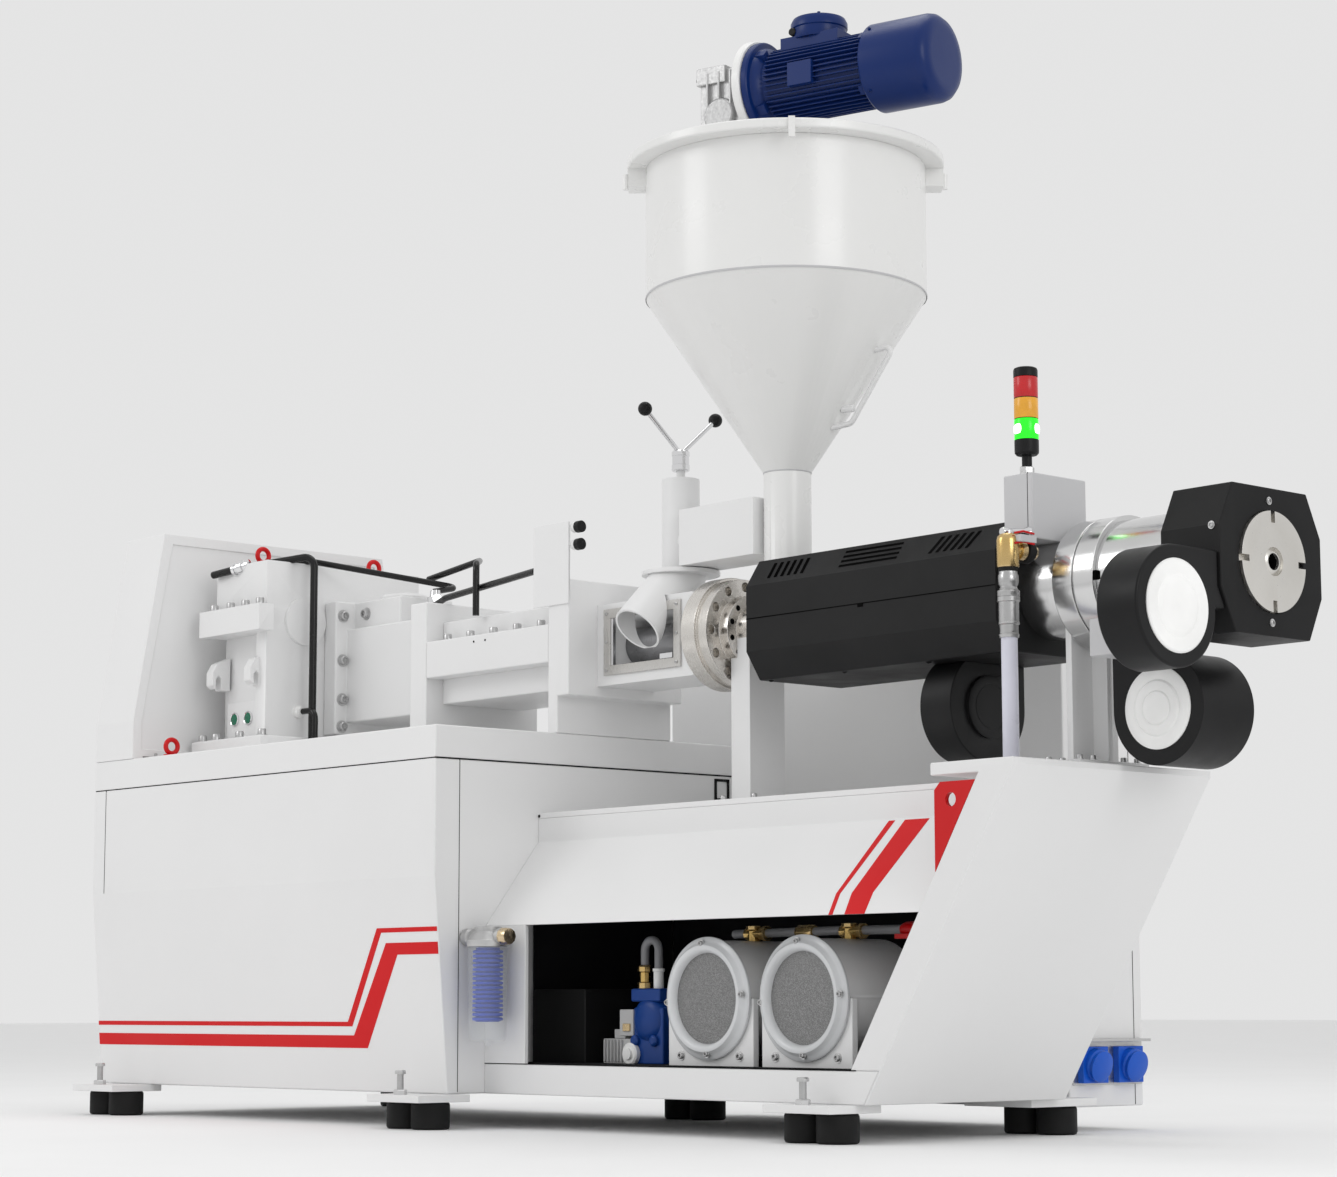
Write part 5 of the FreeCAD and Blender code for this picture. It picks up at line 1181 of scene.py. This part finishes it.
def signal_tower():
    """The signal tower: nut, stem, black foot and cap, and three lenses with the green lit."""
    low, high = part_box("signal_tower")
    centre = Vector(((low.x + high.x) / 2, (low.y + high.y) / 2, low.z))
    stand = aim(centre, Z)
    mesh = bmesh.new()
    lathe(mesh, [(0, 0), (15, 0), (15, 14), (12, 16), (0, 16)], stand, 6)
    finished("tower_nut", mesh, ZINC, bevel=0.8, replaces=("signal_tower",))
    mesh = bmesh.new()
    lathe(
        mesh,
        [(0, 14), (10, 14), (10, 36), (20, 38), (23.6, 42), (24, 46), (24, 68), (22.5, 69), (0, 69)],
        stand,
        48,
    )
    lathe(mesh, [(0, 193), (22.5, 193), (24, 194), (24, 207), (22.5, 211), (18, 213), (0, 213)], stand, 48)
    for level in (110, 151.5):
        lathe(mesh, [(0, level - 0.8), (23.4, level - 0.8), (23.4, level + 0.8), (0, level + 0.8)], stand, 48)
    finished("tower_black_parts", mesh, BLACK_PLASTIC)
    for name, bottom, top, material in (
        ("green_lens", 69, 109.2, LAMP_GREEN),
        ("amber_lens", 110.8, 150.7, LAMP_AMBER),
        ("red_lens", 152.3, 193, LAMP_RED),
    ):
        mesh = bmesh.new()
        lathe(
            mesh,
            [(0, bottom), (23.2, bottom), (23.8, bottom + 1), (23.8, top - 1), (23.2, top), (0, top)],
            stand,
            48,
        )
        finished(name, mesh, material)
    mesh = bmesh.new()
    for angle in (20, 140, 260):
        spot = aim(
            centre + Z * 0.089,
            Vector((math.cos(math.radians(angle)), math.sin(math.radians(angle)), 0)),
        )
        lathe(mesh, [(0, 24.4), (9, 24.2), (12, 22.4)], spot, 32)
    finished("green_lamp_glow", mesh, LAMP_CORE)


def air_line():
    """The milky air hose with its stacked silver couplings and the brass elbow beside the box."""
    low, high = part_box("air_hose")
    centre = Vector(((low.x + high.x) / 2, (low.y + high.y) / 2, low.z))
    tall = (high.z - low.z) / MM
    mesh = bmesh.new()
    lathe(mesh, [(0, 0), (16, 0), (16, tall), (0, tall)], aim(centre, Z), 48)
    finished("air_hose_tube", mesh, HOSE, replaces=("air_hose",))
    mesh = bmesh.new()
    lathe(mesh, [(0, 0), (21, 0), (21, 6), (18, 8), (18, 16), (0, 16)], aim(centre, Z), 6)
    top = Vector((centre.x, centre.y, high.z))
    lathe(mesh, [
        (16.2, -2), (19, -2), (19.6, 4), (18, 6), (18, 22), (20.4, 24), (20.4, 27), (19.6, 28), (19.6, 66),
        (21.8, 68), (21.8, 76), (20.6, 77), (21.8, 79), (21.8, 88), (18, 91), (16, 96), (18.6, 101),
        (19.8, 106), (19.8, 118), (18, 121), (18, 126), (0, 126),
    ], aim(top, Z), 48)
    finished("hose_couplings", mesh, ZINC)
    mesh = bmesh.new()
    lathe(mesh, [(0, 126), (19, 126), (19, 134), (0, 134)], aim(top, Z), 40)
    arm_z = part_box("air_valve")[1].z - 0.038
    arm = aim(Vector((centre.x, centre.y, arm_z)), Y)
    lathe(mesh, [(0, 42), (22, 42), (24, 45), (24, 56), (22, 60), (0, 60)], arm, 40)
    finished("valve_seals", mesh, RUBBER)
    mesh = bmesh.new()
    lathe(mesh, [(0, 134), (21, 134), (22, 137), (22, 186), (20, 194), (15, 199), (0, 200)], aim(top, Z), 48)
    lathe(mesh, [(0, 10), (16, 12), (16, 24), (20, 26), (20, 38), (17, 42), (0, 42)], arm, 40)
    finished("brass_elbow", mesh, BRASS, replaces=("air_valve",), bevel=0)
    mesh = bmesh.new()
    lathe(mesh, [(0, 196), (11, 196), (11, 206), (8, 208), (0, 208)], aim(top, Z), 24)
    lever_root = top + Z * 0.204
    turn = Vector((0.12, 1, 0.10)).normalized()
    stand = aim(lever_root, turn)
    lathe(mesh, [(0, -14), (8, -14), (10, -8), (7, 6), (6, 40), (9, 50), (9, 56), (0, 57)], stand, 24)
    finished("valve_lever_chrome", mesh, CHROME)
    mesh = bmesh.new()
    lathe(mesh, [(0, 60), (14, 60), (14, 74), (0, 74)], arm, 40)
    finished("valve_nut", mesh, BRASS)
    low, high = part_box("junction_box")
    mesh = bmesh.new()
    clip = Vector((centre.x + 0.022, centre.y, high.z - 0.148))
    for rise in (0.0, 0.020):
        points = [
            clip + Vector((0, -0.004, rise)),
            clip + Vector((0.006, 0.014, rise + 0.004)),
            clip + Vector((0.010, 0.040, rise + 0.001)),
        ]
        for start, stop in zip(points, points[1:]):
            lathe(
                mesh,
                [(0, 0), (2.2, 0), (2.2, (stop - start).length / MM), (0, (stop - start).length / MM)],
                aim(start, stop - start),
                12,
            )
    finished("valve_red_sleeve", mesh, RED)
    mesh = bmesh.new()
    slab(mesh, clip + Vector((-0.004, 0.0, 0.003)), clip + Vector((0.012, 0.046, 0.017)))
    finished("valve_block", mesh, GREY, bevel=1.5)
    seams = bmesh.new()
    slab(
        seams,
        (high.x - 0.012, low.y - 0.0004, low.z + 0.002),
        (high.x - 0.0108, high.y + 0.0004, high.z + 0.0004),
    )
    finished("junction_box_seam", seams, JOINT_AND_SHADE_BLACK)


# ---------------------------------------------------------------- water equipment in the base


def water_filter():
    """The clear filter bowl with its blue pleated cartridge, cast head and brass nipple."""
    low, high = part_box("filter_bowl")
    centre = Vector(((low.x + high.x) / 2, (low.y + high.y) / 2, low.z))
    mesh = bmesh.new()
    lathe(mesh, [
        (0, 0), (30, 0), (38, 3), (41, 10), (42, 30), (44, 190), (44, 205), (41.5, 205), (41.5, 190),
        (39, 30), (37, 12), (30, 5), (0, 4),
    ], aim(centre, Z), 48)
    lathe(mesh, [(0, -7), (7, -7), (8, 0), (0, 0)], aim(centre, Z), 20)
    finished("filter_bowl_clear", mesh, BOWL, replaces=("filter_bowl",))
    mesh = bmesh.new()
    for level in range(16):
        base = 46 + level * 9.6
        lathe(mesh, [(27, base), (33, base + 1.2), (33, base + 6.4), (27, base + 7.6)], aim(centre, Z), 30)
    lathe(mesh, [(0, 44), (26, 44), (26, 203), (0, 203)], aim(centre, Z), 32)
    finished("filter_cartridge", mesh, CARTRIDGE)
    mesh = bmesh.new()
    lathe(
        mesh,
        [(0, 205), (46, 205), (46, 218), (42, 222), (36, 232), (30, 238), (30, 247), (0, 247)],
        aim(centre, Z),
        48,
    )
    port = Vector((centre.x, centre.y, centre.z + 0.226))
    line = aim(port, X)
    lathe(mesh, [(0, -72), (14, -76), (19, -76), (19, -58), (15, -54), (15, 44), (0, 44)], line, 32)
    lathe(mesh, [(15, 40), (18, 42), (18, 52), (0, 52)], line, 32)
    slab(
        mesh,
        (centre.x - 0.018, centre.y, centre.z + 0.212),
        (centre.x + 0.018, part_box("base_panels")[0].y, centre.z + 0.240),
    )
    finished("filter_head_cast", mesh, CAST, bevel=0, replaces=("filter_head",))
    mesh = bmesh.new()
    lathe(mesh, [(0, 50), (15, 50), (19, 53), (19, 68), (17, 75), (0, 76)], line, 10)
    finished("filter_nipple", mesh, BRASS)
    mesh = bmesh.new()
    lathe(mesh, [(12, -76.4), (0, -76.2)], line, 24)
    finished("filter_port_shadow", mesh, JOINT_AND_SHADE_BLACK)


def water_pump():
    """The blue pump with its brass valve, looped hose, white knob and grey motor."""
    low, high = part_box("water_pump")
    mesh = bmesh.new()
    start = high.x - 0.130
    body_low = low.z
    slab(mesh, (start + 0.030, low.y + 0.010, body_low), (high.x - 0.004, high.y, body_low + 0.120))
    lathe(
        mesh,
        [(0, -62), (30, -62), (44, -54), (52, -40), (52, 40), (0, 40)],
        aim(Vector((start + 0.076, low.y + 0.064, body_low + 0.094)), Y),
        40,
    )
    slab(
        mesh,
        (start + 0.026, low.y + 0.006, body_low + 0.132),
        (high.x - 0.010, low.y + 0.070, body_low + 0.160),
    )
    for x in (start + 0.040, high.x - 0.030):
        lathe(
            mesh,
            [(0, 0), (12, 0), (12, 14), (10, 18), (0, 18)],
            aim(Vector((x, low.y + 0.018, body_low + 0.050)), -Y),
            24,
        )
    finished("pump_casting", mesh, PUMP_BLUE, bevel=5, replaces=("water_pump",))
    mesh = bmesh.new()
    slab(mesh, (low.x, low.y + 0.012, body_low), (start + 0.060, high.y - 0.006, body_low + 0.054))
    slab(
        mesh,
        (low.x + 0.022, low.y + 0.024, body_low + 0.054),
        (low.x + 0.058, low.y + 0.060, body_low + 0.074),
    )
    slab(
        mesh,
        (low.x + 0.060, low.y + 0.006, body_low + 0.060),
        (start + 0.034, low.y + 0.050, body_low + 0.116),
    )
    for step in range(6):
        slab(
            mesh,
            (low.x + 0.006 + step * 0.011, low.y + 0.006, body_low + 0.004),
            (low.x + 0.010 + step * 0.011, high.y, body_low + 0.052),
        )
    finished("pump_motor_block", mesh, GREY_PLASTIC, bevel=2)
    mesh = bmesh.new()
    lathe(
        mesh,
        [(0, 0), (16, 0), (16, 12), (12, 14), (12, 34), (16, 36), (16, 46), (12, 50), (0, 50)],
        aim(Vector((start + 0.046, low.y + 0.030, body_low + 0.160)), Z),
        8,
    )
    slab(
        mesh,
        (start + 0.004, low.y + 0.002, body_low + 0.070),
        (start + 0.026, low.y + 0.010, body_low + 0.086),
    )
    finished("pump_brass", mesh, BRASS, bevel=0.8)
    mesh = bmesh.new()
    lathe(
        mesh,
        [(0, 0), (20, 0), (24, 3), (24, 12), (20, 15), (12, 15), (11, 20), (0, 20)],
        aim(Vector((start + 0.030, low.y + 0.012, body_low + 0.022)), -Y),
        32,
    )
    lathe(
        mesh,
        [(0, 0), (11, 0), (11, 34), (13, 36), (13, 42), (0, 42)],
        aim(Vector((start + 0.090, low.y + 0.030, body_low + 0.160)), Z),
        24,
    )
    finished("pump_white_parts", mesh, WHITE_PLASTIC)
    rise = body_low + 0.262
    tube("pump_hose", [
        Vector((start + 0.046, low.y + 0.030, body_low + 0.205)),
        Vector((start + 0.046, low.y + 0.030, rise)),
        Vector((start + 0.090, low.y + 0.030, rise)),
        Vector((start + 0.090, low.y + 0.030, body_low + 0.198)),
    ], 9, 22, GREY_HOSE)


def screens():
    """Two round screens: a clear moulded ring with clips over gauze, and the water pipes behind."""
    low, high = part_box("filter_screens")
    radius = (high.z - low.z) / 2
    rings = bmesh.new()
    gauze = bmesh.new()
    clips = []
    for x in (low.x + radius, high.x - radius):
        centre = Vector((x, high.y, low.z + radius))
        stand = aim(centre, -Y)
        lathe(rings, [
            (0, 0), (122, 0), (125, 3), (125, 8), (121, 11), (117, 12), (113, 15), (108, 21), (103, 22),
            (98, 20), (94, 15), (92, 9), (92, 6),
        ], stand, 96)
        lathe(gauze, [(0, 8.5), (60, 8.4), (93, 7.4)], stand, 96)
        for step in range(4):
            angle = math.radians(90 * step + 4)
            clips.append((centre + Vector((math.cos(angle), 0, math.sin(angle))) * 0.112 - Y * 0.016, -Y))
    finished("screen_rings", rings, RING, replaces=("filter_screens",))
    finished("screen_gauze", gauze, GAUZE)
    cap_screws("screen_clips", clips, 5.5, 7)
    low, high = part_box("water_manifold")
    level = high.z - 0.017
    line_y = (low.y + high.y) / 2
    tube("manifold_hose", [
        Vector((low.x, line_y, level)),
        Vector((low.x + 0.30, line_y, level + 0.002)),
        Vector((high.x, line_y, level)),
    ], 9, 300, GREY_HOSE, replaces=("water_manifold",))
    brass = bmesh.new()
    grey = bmesh.new()
    first = at(2083, 0, 0).x
    for step in (0, 1):
        x = first + step * DRUM_PITCH
        spot = Vector((x, line_y, level))
        lathe(brass, [(0, -30), (15, -30), (15, 6), (18, 8), (18, 16), (0, 16)], aim(spot, Z), 8)
        lathe(brass, [(0, -22), (13, -22), (13, 30), (16, 31), (16, 40), (0, 40)], aim(spot, X), 10)
        lathe(grey, [(0, -64), (15, -64), (15, -34), (18, -33), (18, -28), (0, -28)], aim(spot, Z), 24)
    lathe(
        brass,
        [(0, -24), (14, -24), (16, -20), (16, 20), (14, 24), (0, 24)],
        aim(Vector((first + 0.156, line_y, level)), X),
        10,
    )
    finished("manifold_brass", brass, BRASS, bevel=0.8)
    finished("manifold_grey_pipes", grey, GREY_PLASTIC)
    mesh = bmesh.new()
    spot = Vector((first + 0.455, line_y, level))
    lathe(mesh, [(0, -26), (12, -26), (16, -14), (16, 14), (12, 26), (0, 26)], aim(spot, X), 24)
    slab(mesh, spot + Vector((-0.030, -0.022, -0.018)), spot + Vector((0.030, -0.014, -0.008)))
    finished("manifold_red_valve", mesh, RED, bevel=1)


skins()
levelling_bolts()
cabinet_details()
stripes()
control_cabinet_details()
base_details()
gearbox_details()
bracket_details()
lube_pipes()
window_details()
lever()
barrel_details()
die_details()
blower_caps()
column_screws()
hopper_details()
mixer_drive()
signal_tower()
air_line()
water_filter()
water_pump()
screens()
stage()
